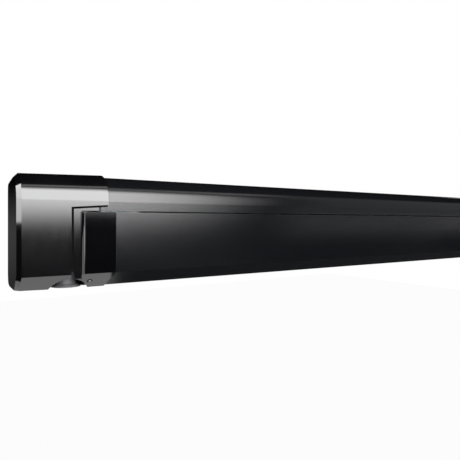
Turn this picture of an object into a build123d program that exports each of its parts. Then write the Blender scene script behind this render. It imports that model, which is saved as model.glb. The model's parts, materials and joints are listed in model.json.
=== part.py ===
from build123d import *
from math import asin, atan, cos, degrees, hypot, pi, radians, sin, sqrt, tan, atan2
import os

# A cassette awning for the side wall of a caravan or camper.
# Millimetres. X runs along the awning, +Y into the wall, +Z up.
# Origin: back face of the middle wall bracket, level with the cassette's underside.
# Sections are drawn as (depth, height): depth is measured from the wall towards the front, so y = -depth.

# Whole awning
awning_length = 1900.0
cassette_depth = 100.0
cassette_height = 127.0
crown_radius = 30.0
roof_slope = 6.65
bevel_height = 15.5
bevel_depth = 15.5

# Clearances
running_fit = 0.05
sliding_fit = 0.3
soft_gap = 0.3
open_pivot_fit = 0.3
cut_overrun = 1.0

# Cassette profile
back_depth = 10.0
wall = 2.0
shelf_gap = 6.0
shelf_lip_height = 5.0
split_drop = 40.5
drip_flange = 7.0
hook_back_depth = 4.5
hook_wall = 2.5
hook_top_drop = 27.0
hook_drop = 9.0
port_radius = 4.5
port_hole_radius = 2.1
port_sink = 0.5
port_turns = (20.0, 80.0)

# End caps
cap_length = 95.0
cap_overlap = 8.0
cap_proud = 2.5
cap_wall = 2.4
cap_back_depth = 4.0
cap_edge = 4.4
cap_fit = 0.2
recess_from_end = 54.4
recess_depth = 6.0
recess_low_rise = 3.7
recess_high_rise = 6.6
pocket_gap = 0.6
pocket_wall = 1.2
pocket_back_gap = 3.5

# Winding gear
gear_x_from_end = 54.6
worm_pitch_radius = 7.0
worm_root_radius = 4.6
worm_tip_radius = 9.2
worm_starts = 2
worm_phase = 140.0
thread_root_angle = 46.0
thread_tip_angle = 24.0
thread_length = 24.0
wheel_teeth = 14
wheel_pitch_radius = 19.0
wheel_root_radius = 16.2
wheel_tip_radius = 21.0
wheel_width = 9.0
tooth_root_angle = 5.6
tooth_tip_angle = 2.9
gear_shaft_radius = 4.0
housing_wall = 2.0
housing_gap = 0.6
housing_half_width = 10.6
sleeve_radius = 7.0
sleeve_bottom_height = 20.0
eye_ring_radius = 6.5
eye_wire_radius = 1.8
eye_hole_radius = 5.0
eye_centre_height = 8.0
bell_radius = 16.5
bell_crown = 6.5
bell_wall = 1.4
bell_neck_radius = 11.0
bell_cup_height = 18.0
bell_height = 30.0
bell_opening_radius = 24.8
bell_notch_height = 18.0

# End plates and roller
end_plate_thickness = 4.0
plate_screw_head_radius = 3.4
plate_screw_head_height = 2.4
plate_screw_length = 22.0
roller_depth = 46.0
roller_drop = 39.0
roller_radius = 25.0
roller_wall = 1.5
roller_end_gap = 10.0
axle_radius = 8.0
axle_sleeve_radius = 12.0
plug_length = 36.0
plug_collar = 3.0
idler_pin_reach = 30.0
pin_flange_radius = 13.0
pin_flange = 3.0

# Canopy
canopy_side_gap = 53.0
canopy_thickness = 0.6
canopy_roll_radius = 29.0
keder_radius = 3.0
keder_slot = 1.8

# Wall brackets and seal
bracket_from_shoulder = 200.0
bracket_width = 90.0
bracket_plate = 4.0
bracket_top_drop = 12.0
bracket_lip = 4.0
bracket_lip_depth = 34.0
bracket_rib_width = 6.0
tongue_wall = 2.4
wall_screw_spacing_x = 60.0
wall_screw_spacing_z = 70.0
wall_screw_radius = 3.25
wall_screw_low_height = 15.0
lock_screw_radius = 2.5
lock_screw_head_radius = 4.5
lock_screw_head_height = 3.0
lock_screw_spacing = 50.0
lock_screw_depth = 24.0
lock_screw_reach = 3.5
seal_height = 3.0
seal_drop = 10.5

# Folding arms: both tubes have one section
shoulder_from_plate = 63.0
shoulder_depth = 27.0
shoulder_height = 31.0
arm_middle_gap = 40.0
arm_tilt = 10.0
shoulder_swing_angle = 68.44
tube_width = 20.0
tube_height = 32.0
tube_wall = 1.8
tube_corner = 3.0
tube_gap = 5.0
pivot_inset = 1.8
knuckle_height = 20.0
boss_radius = 10.0
knuckle_length = 45.0
knuckle_head = 6.0
knuckle_arm_width = 16.0
web_gap = 19.0
spigot_length = 30.0
spigot_fit = 0.1
ear_fit = 0.4
pin_radius = 5.0
pin_head_radius = 7.5
pin_head_height = 1.5
bracket_foot_wall = 2.5
shoulder_foot_length = 72.0
shoulder_foot_height = 40.0
shoulder_bolt_radius = 3.0
shoulder_bolt_head_radius = 5.0
shoulder_bolt_head_height = 2.0
shoulder_bolt_spacing_x = 56.0
shoulder_bolt_spacing_z = 28.0
wrist_foot_length = 60.0
wrist_foot_height = 40.0
wrist_foot_wall = 3.5
wrist_foot_centre_height = 27.0
spring_radius = 7.0
spring_length = 330.0
spring_hook_radius = 2.0
cable_radius = 1.2

# Lead rail
rail_into_cap = 0.5
rail_depth = 36.0
rail_box_height = 60.0
rail_nose = 22.0
rail_top_gap = 1.5
rail_wall = 1.6
rail_front_wall = 2.0
channel_inset = 15.5
keder_inset = 16.0
keder_boss_wall = 1.8
rail_cap_length = 27.3
rail_cap_lip = 9.8
rail_cap_mitre_height = 14.5
rail_cap_proud = 1.5
rail_cap_wall = 2.2
rail_cap_edge = 3.0
rail_cap_tongue = 14.0
buffer_radius = 3.0
buffer_height = 1.4
buffer_from_end = 77.1
buffer_place_share = 0.4

# Support legs: three tubes, one inside the other
leg_from_rail_end = 37.5
leg_inset = 25.0
upper_leg_height = 45.0
lower_leg_height = 17.0
leg_width = 18.0
leg_height = 22.0
leg_wall = 1.4
leg_fit = 0.4
leg_corner = 2.0
middle_collar = 28.0
inner_collar = 22.0
foot_length = 22.0
leg_middle_gap = 8.0
hinge_pin_radius = 4.0
nested_back_gap = 30.0
tube_engagement = 60.0
foot_pin_radius = 2.0
foot_pivot_reach = 6.0
foot_eye_radius = 5.5
foot_tongue_width = 6.0
foot_gap = 0.8
lever_length = 20.0
lever_thickness = 2.6
lever_width = 11.0
lever_pin_radius = 1.2
lever_eye_radius = 2.4
lever_gap = 0.2
lug_width = 2.6
lug_length = 8.0

# Places worked out from the sizes above
half_length = awning_length / 2
cap_inner_x = -half_length + cap_length
profile_x = half_length - cap_length + cap_overlap
plate_x = profile_x + end_plate_thickness
inner_depth = back_depth + wall
split_height = cassette_height - split_drop
recess_low_height = split_height + recess_low_rise
recess_high_height = split_height + recess_high_rise
hook_top_height = cassette_height - hook_top_drop
bracket_top_height = cassette_height - bracket_top_drop
seal_bottom_height = cassette_height - seal_drop
roller_height = cassette_height - roller_drop
gear_x = -half_length + gear_x_from_end
worm_depth = roller_depth + wheel_pitch_radius + worm_pitch_radius
tooth_pitch = 2 * pi * wheel_pitch_radius / wheel_teeth
worm_lead = tooth_pitch * worm_starts
gear_ratio = wheel_teeth / worm_starts
roller_x = profile_x - roller_end_gap
canopy_x = roller_x - canopy_side_gap
shoulder_x = profile_x - shoulder_from_plate
bracket_pitch = shoulder_x - bracket_from_shoulder
tube_spacing = tube_width + tube_gap
wrist_advance = tube_spacing - 2 * pivot_inset
wrist_depth = shoulder_depth + wrist_advance * cos(radians(arm_tilt))
elbow_advance = wrist_advance / 2
arm_reach = shoulder_x - arm_middle_gap
elbow_x = sqrt(arm_reach**2 - elbow_advance**2)
upper_tube_y = pivot_inset
lower_tube_y = pivot_inset - tube_spacing
folded_angle = degrees(asin(elbow_advance / arm_reach))
open_angle = radians(folded_angle + shoulder_swing_angle)
fabric_extension = 2 * (arm_reach * sin(open_angle) - elbow_advance)
mean_roll_radius = (roller_radius + canopy_roll_radius) / 2
roller_turn = degrees(fabric_extension / mean_roll_radius)
rail_x = half_length - cap_length + rail_into_cap
rail_cap_x = rail_x + rail_cap_length
rail_lip_x = rail_x - rail_cap_lip
rail_back_depth = cassette_depth - rail_depth
rail_nose_depth = cassette_depth - rail_nose
rail_top_height = split_height - rail_top_gap
channel_front_depth = cassette_depth - channel_inset
shelf_front_depth = rail_back_depth - shelf_gap
keder_depth = cassette_depth - keder_inset
keder_height = rail_top_height - rail_wall - keder_radius - soft_gap
leg_pivot_x = rail_x - leg_from_rail_end
leg_depth = cassette_depth - leg_inset
outer_leg_length = leg_pivot_x - middle_collar - inner_collar - foot_length - leg_middle_gap
middle_leg_end = outer_leg_length + middle_collar
inner_leg_end = middle_leg_end + inner_collar
middle_leg_start = 2 * leg_height + nested_back_gap
inner_leg_start = middle_leg_start + nested_back_gap
middle_leg_travel = outer_leg_length - middle_leg_start - tube_engagement
inner_leg_travel = middle_leg_end - inner_leg_start - tube_engagement
foot_pivot = inner_leg_end + foot_pivot_reach


def place(depth, height):
    """A point of a section: depth from the wall and height."""
    return (-depth, height)


def section(points):
    """A closed outline of straight lines in the section plane."""
    return make_face(Polyline(*[place(*point) for point in points], close=True))


def disc(depth, height, radius):
    return Pos(-depth, height, 0) * Circle(radius)


def strip(depth_from, depth_to, height_from, height_to):
    """A rectangle of a section."""
    low = [(depth_from, height_from), (depth_to, height_from)]
    high = [(depth_to, height_to), (depth_from, height_to)]
    return section(low + high)


def along(face, x_from, x_to):
    """A section drawn out along the awning."""
    return extrude(Plane.YZ.offset(x_from) * face, x_to - x_from)


def block(x_from, x_to, depth_from, depth_to, height_from, height_to):
    size = Box(x_to - x_from, depth_to - depth_from, height_to - height_from)
    return Pos((x_from + x_to) / 2, -(depth_from + depth_to) / 2, (height_from + height_to) / 2) * size


def rod_x(radius, x_from, x_to, depth, height):
    return along(disc(depth, height, radius), x_from, x_to)


def rod_y(radius, x, depth_from, depth_to, height):
    """A round bar square to the wall."""
    plane = Plane(origin=(x, -depth_from, height), z_dir=(0, -1, 0))
    return extrude(plane * Circle(radius), depth_to - depth_from)


def rod_z(radius, x, depth, height_from, height_to):
    return Pos(x, -depth, height_from) * extrude(Circle(radius), height_to - height_from)


def other_end(shape):
    """The same piece at the right-hand end."""
    return mirror(shape, about=Plane.YZ)


def fused(shapes):
    """Several solids that touch, as one."""
    first, *rest = shapes
    for shape in rest:
        first = first + shape
    return first


def apart(shapes):
    """Several solids that stay separate in one node."""
    return Compound(children=[solid for shape in shapes for solid in shape.solids()])


def write(name, shape):
    if len(shape.solids()) == 1:
        shape = shape.solids()[0]
    shape.label = name
    export_step(shape, os.path.join("parts", name + ".step"))


# Cassette


def cassette_outline(grow, back):
    """The closed section of the shut awning, grown outwards at the top, front and bottom."""
    front = cassette_depth + grow
    radius = crown_radius + grow
    centre_depth = cassette_depth - crown_radius
    centre_height = cassette_height - crown_radius
    slope = radians(roof_slope)

    def on_crown(angle):
        return (centre_depth + radius * cos(angle), centre_height + radius * sin(angle))

    crown_end = on_crown(pi / 2 + slope)
    middle = on_crown((pi / 2 + slope) / 2)
    ridge_height = crown_end[1] - (crown_end[0] - back) * tan(slope)
    low = [(back, -grow), (cassette_depth - bevel_depth, -grow), (front, bevel_height), on_crown(0)]
    lines = Polyline(*[place(*point) for point in low])
    arc = ThreePointArc(place(*on_crown(0)), place(*middle), place(*crown_end))
    roof = Polyline(place(*crown_end), place(back, ridge_height), place(back, -grow))
    return make_face([*lines.edges(), arc, *roof.edges()])


def port_places():
    """Centres of the screw ports in the profile's section."""
    inset = port_radius - port_sink
    back = inner_depth + inset
    low, high = wall + inset, bracket_top_height - port_radius
    reach = crown_radius - wall - inset
    centre_depth, centre_height = cassette_depth - crown_radius, cassette_height - crown_radius
    on_crown = [polar(reach, turn) for turn in port_turns]
    return [(back, low), (back, high)] + [(centre_depth + dx, centre_height + dz) for dx, dz in on_crown]


def cassette_profile():
    outer = cassette_outline(0, back_depth)
    hollow = offset(outer, -wall, kind=Kind.INTERSECTION)
    ring = outer - hollow
    open_front = strip(shelf_front_depth, cassette_depth + cut_overrun, -cut_overrun, split_height)
    ring = ring - open_front
    lip = strip(shelf_front_depth - wall, shelf_front_depth, 0, shelf_lip_height)
    flange_back = cassette_depth - wall - drip_flange
    flange = strip(flange_back, cassette_depth - wall / 2, split_height, split_height + wall)
    hook_root = strip(hook_back_depth, back_depth + wall / 2, hook_top_height - hook_wall, hook_top_height)
    lip_low = hook_top_height - hook_drop
    hook_lip = strip(hook_back_depth, hook_back_depth + hook_wall, lip_low, hook_top_height)
    ring = ring + lip + flange + hook_root + hook_lip
    for depth, height in port_places():
        ring = ring + (disc(depth, height, port_radius) & outer)
    for depth, height in port_places():
        ring = ring - disc(depth, height, port_hole_radius)
    profile = along(ring, -profile_x, profile_x)
    for x in bracket_places():
        for side in (-1, 1):
            at_x = x + side * lock_screw_spacing / 2
            high = wall + cut_overrun
            profile = profile - rod_z(lock_screw_radius, at_x, lock_screw_depth, -cut_overrun, high)
    for side in (-1, 1):
        for dx, dz in shoulder_bolt_offsets():
            hole = rod_y(
                shoulder_bolt_radius,
                side * shoulder_x + dx,
                back_depth - cut_overrun,
                inner_depth + cut_overrun,
                shoulder_height + dz,
            )
            profile = profile - hole
    return profile


def end_cap(with_bell):
    """The left-hand moulded cap: a tapered shell with the lead rail's pocket sunk into it."""
    outer_face = Plane.YZ.offset(-half_length) * cassette_outline(0, cap_back_depth)
    inner_face = Plane.YZ.offset(cap_inner_x) * cassette_outline(cap_proud, cap_back_depth)
    outer = loft([outer_face, inner_face], ruled=True)
    end_edges = outer.faces().sort_by(Axis.X)[0].edges()
    front_edges = [edge for edge in end_edges if edge.center().Y < -cap_back_depth - cap_edge]
    upper_edges = [edge for edge in front_edges if edge.center().Z > cap_edge]
    outer = chamfer(upper_edges, cap_edge)
    hollow_face = offset(cassette_outline(0, cap_back_depth), -cap_wall, kind=Kind.INTERSECTION)
    hollow = along(hollow_face, -half_length + cap_edge, -plate_x)
    seat_face = offset(cassette_outline(0, cap_back_depth), cap_fit, kind=Kind.INTERSECTION)
    hollow = hollow + along(seat_face, -plate_x - cap_fit, cap_inner_x + cut_overrun)
    pocket = rail_pocket()
    lining = rail_pocket_lining() & outer
    cap = outer - hollow + lining - pocket
    if with_bell:
        low = -cap_proud - cut_overrun
        mouth = rod_z(bell_opening_radius, gear_x, worm_depth, low, bevel_height + cut_overrun)
        well = rod_z(bell_neck_radius + cut_overrun, gear_x, worm_depth, low, bell_height + cut_overrun)
        cap = cap - mouth - well
    return largest(cap)


def largest(shape):
    """The one solid of a cut that may leave crumbs."""
    return shape.solids().sort_by(SortBy.VOLUME)[-1]


def rail_pocket():
    """The space that the shut lead rail's end cap fills, with the shallow step in front of it."""
    x_from = -rail_cap_x - pocket_gap
    x_to = cap_inner_x + cut_overrun
    front = cassette_depth + cap_proud + cut_overrun
    low = -cap_proud - cut_overrun
    deep = block(x_from, x_to, rail_back_depth - pocket_back_gap, front, low, split_height)
    step_x = -half_length + recess_from_end
    floor = cassette_depth + cap_proud - recess_depth
    rise = (recess_high_height - recess_low_height) / (cap_length - recess_from_end)
    end_height = recess_high_height + rise * cut_overrun
    corners = [(step_x, low), (x_to, low), (x_to, end_height), (step_x, recess_low_height)]
    plane = Plane(origin=(0, -floor, 0), x_dir=(1, 0, 0), z_dir=(0, -1, 0))
    step = extrude(plane * make_face(Polyline(*corners, close=True)), front - floor)
    return deep + step


def rail_pocket_lining():
    """Walls that close the pocket towards the inside of the cap."""
    x_from = -rail_cap_x - pocket_gap - pocket_wall
    back = rail_back_depth - pocket_back_gap - pocket_wall
    front = cassette_depth + cap_proud
    low = -cap_proud
    deep = block(x_from, -plate_x - cap_fit, back, front, low, split_height + pocket_wall)
    floor = cassette_depth + cap_proud - recess_depth - pocket_wall
    step_x = -half_length + recess_from_end - pocket_wall
    high = recess_high_height + pocket_wall
    return deep + block(step_x, -profile_x - cap_fit, floor, front, low, high)


def end_plate(with_bore):
    """The left-hand cast plate that closes the profile and carries one end of the roller."""
    face = offset(cassette_outline(0, back_depth), -cap_fit, kind=Kind.INTERSECTION)
    cut_depth = rail_back_depth - pocket_back_gap - pocket_wall - cap_fit
    cut_height = split_height + pocket_wall + cap_fit
    face = face - strip(cut_depth, cassette_depth + cut_overrun, -cut_overrun, cut_height)
    step_depth = cassette_depth + cap_proud - recess_depth - pocket_wall - cap_fit
    step_height = recess_high_height + pocket_wall + cap_fit
    face = face - strip(step_depth, cassette_depth + cut_overrun, split_height, step_height)
    for depth, height in port_places():
        face = face - disc(depth, height, port_hole_radius)
    bore = axle_radius + running_fit if with_bore else axle_radius
    face = face - disc(roller_depth, roller_height, bore)
    return along(face, -plate_x, -profile_x)


def plate_screw(depth, height):
    head = rod_x(plate_screw_head_radius, -plate_x - plate_screw_head_height, -plate_x, depth, height)
    shank = rod_x(port_hole_radius, -plate_x, -plate_x + plate_screw_length, depth, height)
    socket = rod_x(
        port_hole_radius / 2,
        -plate_x - plate_screw_head_height,
        -plate_x - plate_screw_head_height / 2,
        depth,
        height,
    )
    return head + shank - socket


def plate_screws():
    screws = [plate_screw(depth, height) for depth, height in port_places()]
    return apart(screws + [other_end(screw) for screw in screws])


# Wall brackets


def bracket_places():
    return [-bracket_pitch, 0, bracket_pitch]


def wall_bracket(x):
    """A hook plate: its tongue enters the profile's hook and its foot carries the profile."""
    low, high = x - bracket_width / 2, x + bracket_width / 2
    plate = block(low, high, 0, bracket_plate, -bracket_lip, bracket_top_height)
    foot = block(low, high, 0, bracket_lip_depth, -bracket_lip, 0)
    slot_front = hook_back_depth + hook_wall + (back_depth - hook_back_depth - hook_wall - tongue_wall) / 2
    tongue_base = hook_top_height - hook_drop - sliding_fit
    tongue_front = slot_front + tongue_wall
    tongue_top = tongue_base + hook_drop - tongue_wall - hook_wall
    arm = block(low, high, 0, tongue_front, tongue_base - tongue_wall, tongue_base)
    tongue = block(low, high, slot_front, tongue_front, tongue_base - tongue_wall, tongue_top)
    bracket = plate + foot + arm + tongue
    for side in (-1, 1):
        edge = x + side * (bracket_width - bracket_rib_width) / 2
        rib = block(
            edge - bracket_rib_width / 2,
            edge + bracket_rib_width / 2,
            0,
            back_depth,
            -bracket_lip,
            wall_screw_low_height,
        )
        bracket = bracket + rib
        for row in (0, wall_screw_spacing_z):
            hole = rod_y(
                wall_screw_radius,
                x + side * wall_screw_spacing_x / 2,
                -cut_overrun,
                bracket_plate + cut_overrun,
                wall_screw_low_height + row,
            )
            bracket = bracket - hole
        screw_x = x + side * lock_screw_spacing / 2
        low_end = -bracket_lip - cut_overrun
        bracket = bracket - rod_z(lock_screw_radius, screw_x, lock_screw_depth, low_end, cut_overrun)
    return bracket


def wall_brackets():
    return apart([wall_bracket(x) for x in bracket_places()])


def lock_screws():
    """Screws up through each bracket's foot into the profile."""
    screws = []
    for x in bracket_places():
        for side in (-1, 1):
            at_x = x + side * lock_screw_spacing / 2
            bottom = -bracket_lip - lock_screw_head_height
            head = rod_z(lock_screw_head_radius, at_x, lock_screw_depth, bottom, -bracket_lip)
            shank = rod_z(lock_screw_radius, at_x, lock_screw_depth, -bracket_lip, lock_screw_reach)
            socket_top = bottom + lock_screw_head_height / 2
            socket = rod_z(lock_screw_radius / 2, at_x, lock_screw_depth, bottom, socket_top)
            screws.append(head + shank - socket)
    return apart(screws)


def rain_seal():
    """The rubber strip that closes the gap between the cassette and the wall."""
    middle = seal_bottom_height + seal_height / 2
    body = strip(seal_height, back_depth, seal_bottom_height, seal_bottom_height + seal_height)
    bulb = disc(seal_height / 2 + soft_gap / 2, middle, seal_height / 2)
    neck = strip(seal_height / 2, seal_height + soft_gap, middle - seal_height / 4, middle + seal_height / 4)
    return along(body + bulb + neck, cap_inner_x, -cap_inner_x)


# Winding gear


def polar(radius, angle):
    return (radius * cos(radians(angle)), radius * sin(radians(angle)))


def tapered_teeth(core, count, root_radius, tip_radius, root_angle, tip_angle):
    """A disc with straight-sided teeth, each given by its half angles."""
    face = Circle(core)
    sunk = core - (tip_radius - root_radius) / 4
    for number in range(count):
        turn = 360 * number / count
        corners = [
            polar(sunk, turn - root_angle),
            polar(tip_radius, turn - tip_angle),
            polar(tip_radius, turn + tip_angle),
            polar(sunk, turn + root_angle),
        ]
        face = face + make_face(Polyline(*corners, close=True))
    return face.faces()[0]


def twisted(face, length, angle):
    return Solid.extrude_linear_with_rotation(face, (0, 0, 0), (0, 0, length), angle)


def worm_shaft():
    """The upright shaft: a two-start worm beside the wheel and a plain stem down to the eye."""
    face = tapered_teeth(
        worm_root_radius, worm_starts, worm_root_radius, worm_tip_radius, thread_root_angle, thread_tip_angle
    )
    thread = twisted(face, thread_length, 360 * thread_length / worm_lead)
    thread = Pos(gear_x, -worm_depth, roller_height - thread_length / 2) * Rot(0, 0, worm_phase) * thread
    top = roller_height + thread_length / 2
    bottom = roller_height - thread_length / 2
    journal = rod_z(gear_shaft_radius, gear_x, worm_depth, top, top + housing_gap + housing_wall)
    eye_top = eye_centre_height + eye_ring_radius + eye_wire_radius
    stem = rod_z(gear_shaft_radius, gear_x, worm_depth, eye_top, bottom)
    return thread + journal + stem


def winding_eye():
    """The ring that takes the crank's hook, with a short collar on the shaft's end."""
    ring = Torus(eye_ring_radius, eye_wire_radius)
    ring = Pos(gear_x, -worm_depth, eye_centre_height) * Rot(90, 0, 0) * ring
    eye_top = eye_centre_height + eye_ring_radius + eye_wire_radius
    collar = rod_z(gear_shaft_radius, gear_x, worm_depth, eye_top - eye_wire_radius * 2, eye_top)
    hole = rod_y(
        eye_hole_radius,
        gear_x,
        worm_depth - bell_radius,
        worm_depth + bell_radius,
        eye_centre_height,
    )
    return largest(ring + collar - hole)


def worm_wheel():
    face = tapered_teeth(
        wheel_root_radius, wheel_teeth, wheel_root_radius, wheel_tip_radius, tooth_root_angle, tooth_tip_angle
    )
    lead_angle = atan(worm_lead / (2 * pi * worm_pitch_radius))
    angle = degrees(wheel_width * tan(lead_angle) / wheel_pitch_radius)
    wheel = Pos(0, 0, -wheel_width / 2) * twisted(face, wheel_width, angle)
    frame = Plane(origin=(gear_x, -roller_depth, roller_height), x_dir=(0, -1, 0), z_dir=(1, 0, 0))
    wheel = frame.location * wheel
    bore = rod_x(axle_radius, gear_x - wheel_width, gear_x + wheel_width, roller_depth, roller_height)
    return wheel - bore


def gearbox_space():
    """The hollow round the wheel and the worm."""
    half = wheel_width / 2 + housing_gap
    wheel = rod_x(wheel_tip_radius + housing_gap, gear_x - half, gear_x + half, roller_depth, roller_height)
    low = roller_height - thread_length / 2 - housing_gap
    high = roller_height + thread_length / 2 + housing_gap
    worm = rod_z(worm_tip_radius + housing_gap, gear_x, worm_depth, low, high)
    return wheel + worm


def gearbox_shell():
    """Housing and cover together, before they are split."""
    x_from, x_to = gear_x - housing_half_width, gear_x + housing_half_width
    radius = wheel_tip_radius + housing_gap + housing_wall
    body = rod_x(radius, x_from, x_to, roller_depth, roller_height)
    low = roller_height - thread_length / 2 - housing_gap - housing_wall
    high = roller_height + thread_length / 2 + housing_gap + housing_wall
    front = worm_depth + worm_tip_radius + housing_gap + housing_wall
    body = body + block(x_from, x_to, roller_depth, front, low, high)
    bore = gear_shaft_radius + running_fit
    shaft = rod_z(bore, gear_x, worm_depth, low - cut_overrun, high + cut_overrun)
    return body - gearbox_space() - shaft


def gearbox_housing():
    """The inner half, its sleeve to the end plate and its stem down to the bell."""
    half = keep_side(gearbox_shell(), gear_x, housing_half_width, 1)
    neck = rod_x(axle_sleeve_radius, gear_x + housing_half_width, -plate_x, roller_depth, roller_height)
    low = roller_height - thread_length / 2 - housing_gap - housing_wall
    stem = rod_z(sleeve_radius, gear_x, worm_depth, sleeve_bottom_height, low)
    housing = half + neck + stem
    stem_low = sleeve_bottom_height - cut_overrun
    stem_bore = rod_z(gear_shaft_radius + running_fit, gear_x, worm_depth, stem_low, low)
    axle_bore = rod_x(axle_radius + running_fit, gear_x, -plate_x + cut_overrun, roller_depth, roller_height)
    return largest(housing - stem_bore - axle_bore)


def gearbox_cover():
    """The outer half, with a blind pocket for the end of the axle."""
    half = keep_side(gearbox_shell(), gear_x, housing_half_width, -1)
    pocket_end = gear_x - wheel_width / 2 - housing_gap - (housing_half_width - wheel_width / 2) / 2
    return largest(half - rod_x(axle_radius + running_fit, pocket_end, gear_x, roller_depth, roller_height))


def keep_side(shape, x, reach, side):
    """The part of a shape on one side of an upright plane."""
    x_from, x_to = (x, x + reach + cut_overrun) if side > 0 else (x - reach - cut_overrun, x)
    return shape & block(x_from, x_to, 0, cassette_depth, 0, cassette_height)


def winding_bell():
    """The shallow bell under the gearbox, with the cup round the eye that takes the crank's hook."""
    cup_radius = bell_neck_radius - bell_wall
    bell = ball_cap(bell_radius, bell_crown) + extrude(Circle(bell_neck_radius), bell_height)
    bell = bell - ball_cap(bell_radius - bell_wall, bell_crown - bell_wall)
    bell = bell - extrude(Circle(cup_radius), bell_cup_height)
    bell = bell - Pos(0, 0, sleeve_bottom_height) * extrude(Circle(sleeve_radius), bell_height)
    bell = bell - extrude(Circle(gear_shaft_radius + running_fit + sliding_fit), bell_height)
    return Pos(gear_x, -worm_depth, 0) * bell


def ball_cap(rim, crown):
    """The part of a ball above a flat floor, with the floor's radius and the height over it."""
    radius = (rim**2 + crown**2) / (2 * crown)
    ball = Pos(0, 0, crown - radius) * Sphere(radius)
    return ball & extrude(Circle(rim + cut_overrun), crown + cut_overrun)


# Roller


def roller_tube():
    ring = disc(roller_depth, roller_height, roller_radius)
    ring = ring - disc(roller_depth, roller_height, roller_radius - roller_wall)
    return along(ring, -roller_x, roller_x)


def canopy_roll():
    """The fabric wound on the roller, as one sleeve."""
    ring = disc(roller_depth, roller_height, canopy_roll_radius)
    ring = ring - disc(roller_depth, roller_height, roller_radius)
    return along(ring, -canopy_x, canopy_x)


def drive_plug():
    """The left-hand plug with the axle that the worm wheel turns."""
    bore = roller_radius - roller_wall
    plug = rod_x(bore, -roller_x, -roller_x + plug_length, roller_depth, roller_height)
    collar = rod_x(roller_radius, -roller_x - plug_collar, -roller_x, roller_depth, roller_height)
    axle_end = gear_x - wheel_width / 2 - housing_gap
    axle = rod_x(axle_radius, axle_end, -roller_x - plug_collar, roller_depth, roller_height)
    return plug + collar + axle


def idler_plug():
    """The right-hand plug, which turns on the fixed pin."""
    bore = roller_radius - roller_wall
    plug = rod_x(bore, roller_x - plug_length, roller_x, roller_depth, roller_height)
    collar = rod_x(roller_radius, roller_x, roller_x + plug_collar, roller_depth, roller_height)
    hole = rod_x(
        axle_radius + running_fit, roller_x - plug_length, roller_x + plug_collar, roller_depth, roller_height
    )
    return plug + collar - hole


def idler_pin():
    pin = rod_x(axle_radius, roller_x - idler_pin_reach, plate_x, roller_depth, roller_height)
    return pin + rod_x(pin_flange_radius, plate_x, plate_x + pin_flange, roller_depth, roller_height)


# Folding arms, drawn flat at the left shoulder and then tilted about it: -Y is the way that they open


def arm_frame(shape):
    """Carry a piece from the flat drawing to its place on the left of the awning."""
    return Pos(-shoulder_x, -shoulder_depth, shoulder_height) * Rot(arm_tilt, 0, 0) * shape


def flat_box(x_from, x_to, y_from, y_to, height):
    size = Box(x_to - x_from, y_to - y_from, height)
    return Pos((x_from + x_to) / 2, (y_from + y_to) / 2, 0) * size


def pillar(x, y, radius, height):
    return Pos(x, y, 0) * Cylinder(radius, height)


def arm_tube(x_from, x_to, y):
    """A rounded rectangular tube along X."""
    plane = Plane(origin=(x_from, y, 0), x_dir=(0, 1, 0), z_dir=(1, 0, 0))
    outer = RectangleRounded(tube_width, tube_height, tube_corner)
    inner = RectangleRounded(tube_width - 2 * tube_wall, tube_height - 2 * tube_wall, tube_corner - tube_wall)
    return extrude(plane * (outer - inner), x_to - x_from)


def spigot(x_from, x_to, y):
    """A plug that fits inside an arm tube."""
    width = tube_width - 2 * tube_wall - 2 * spigot_fit
    height = tube_height - 2 * tube_wall - 2 * spigot_fit
    plane = Plane(origin=(x_from, y, 0), x_dir=(0, 1, 0), z_dir=(1, 0, 0))
    return extrude(plane * RectangleRounded(width, height, tube_corner - tube_wall), x_to - x_from)


def knuckle(pivot_x, pivot_y, tube_y, side, bore):
    """A cast eye that turns between two ears, with a block and a plug into its tube."""
    far = pivot_x + side * knuckle_length
    y_low, y_high = tube_y - tube_width / 2, tube_y + tube_width / 2
    eye = Pos(pivot_x, pivot_y) * Circle(boss_radius)
    root = Pos(far - side * knuckle_head, tube_y) * Rectangle(knuckle_head, knuckle_arm_width)
    arm = Pos(0, 0, -knuckle_height / 2) * extrude(make_hull((eye + root).edges()), knuckle_height)
    head = flat_box(*sorted((far, far - side * knuckle_head)), y_low, y_high, tube_height)
    plug = spigot(*sorted((far, far + side * spigot_length)), tube_y)
    return arm + head + plug - pillar(pivot_x, pivot_y, bore, tube_height)


def ear_thickness():
    return (tube_height - knuckle_height) / 2 - ear_fit


def ear_pair(shape):
    """Two copies of a flat plate, above and below a knuckle."""
    lift = knuckle_height / 2 + ear_fit
    upper = Pos(0, 0, lift) * shape
    return upper, mirror(upper, about=Plane.XY)


def ear(pivot_x, pivot_y, x_from, x_to, y_from, y_to):
    """A round-nosed plate from a pivot to a rectangle, lying on the drawing plane."""
    round_end = Pos(pivot_x, pivot_y) * Circle(boss_radius)
    root = Pos((x_from + x_to) / 2, (y_from + y_to) / 2) * Rectangle(x_to - x_from, y_to - y_from)
    face = make_hull((round_end + root).edges())
    return extrude(face, ear_thickness())


def pivot_pin(x, y):
    """A pin through both ears, with a low head at each end."""
    shank = pillar(x, y, pin_radius, tube_height)
    head = Pos(0, 0, tube_height / 2 + pin_head_height / 2) * pillar(x, y, pin_head_radius, pin_head_height)
    return shank + head + mirror(head, about=Plane.XY)


def upper_arm_tube():
    return arm_frame(arm_tube(knuckle_length, elbow_x - knuckle_length, upper_tube_y))


def forearm_tube():
    return arm_frame(arm_tube(knuckle_length, elbow_x - knuckle_length, lower_tube_y))


def shoulder_knuckle():
    return arm_frame(knuckle(0, 0, upper_tube_y, 1, pin_radius + running_fit))


def elbow_knuckle():
    return arm_frame(knuckle(elbow_x, -elbow_advance, lower_tube_y, -1, pin_radius + running_fit))


def wrist_knuckle(bore):
    return arm_frame(knuckle(0, -wrist_advance, lower_tube_y, 1, bore))


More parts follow.
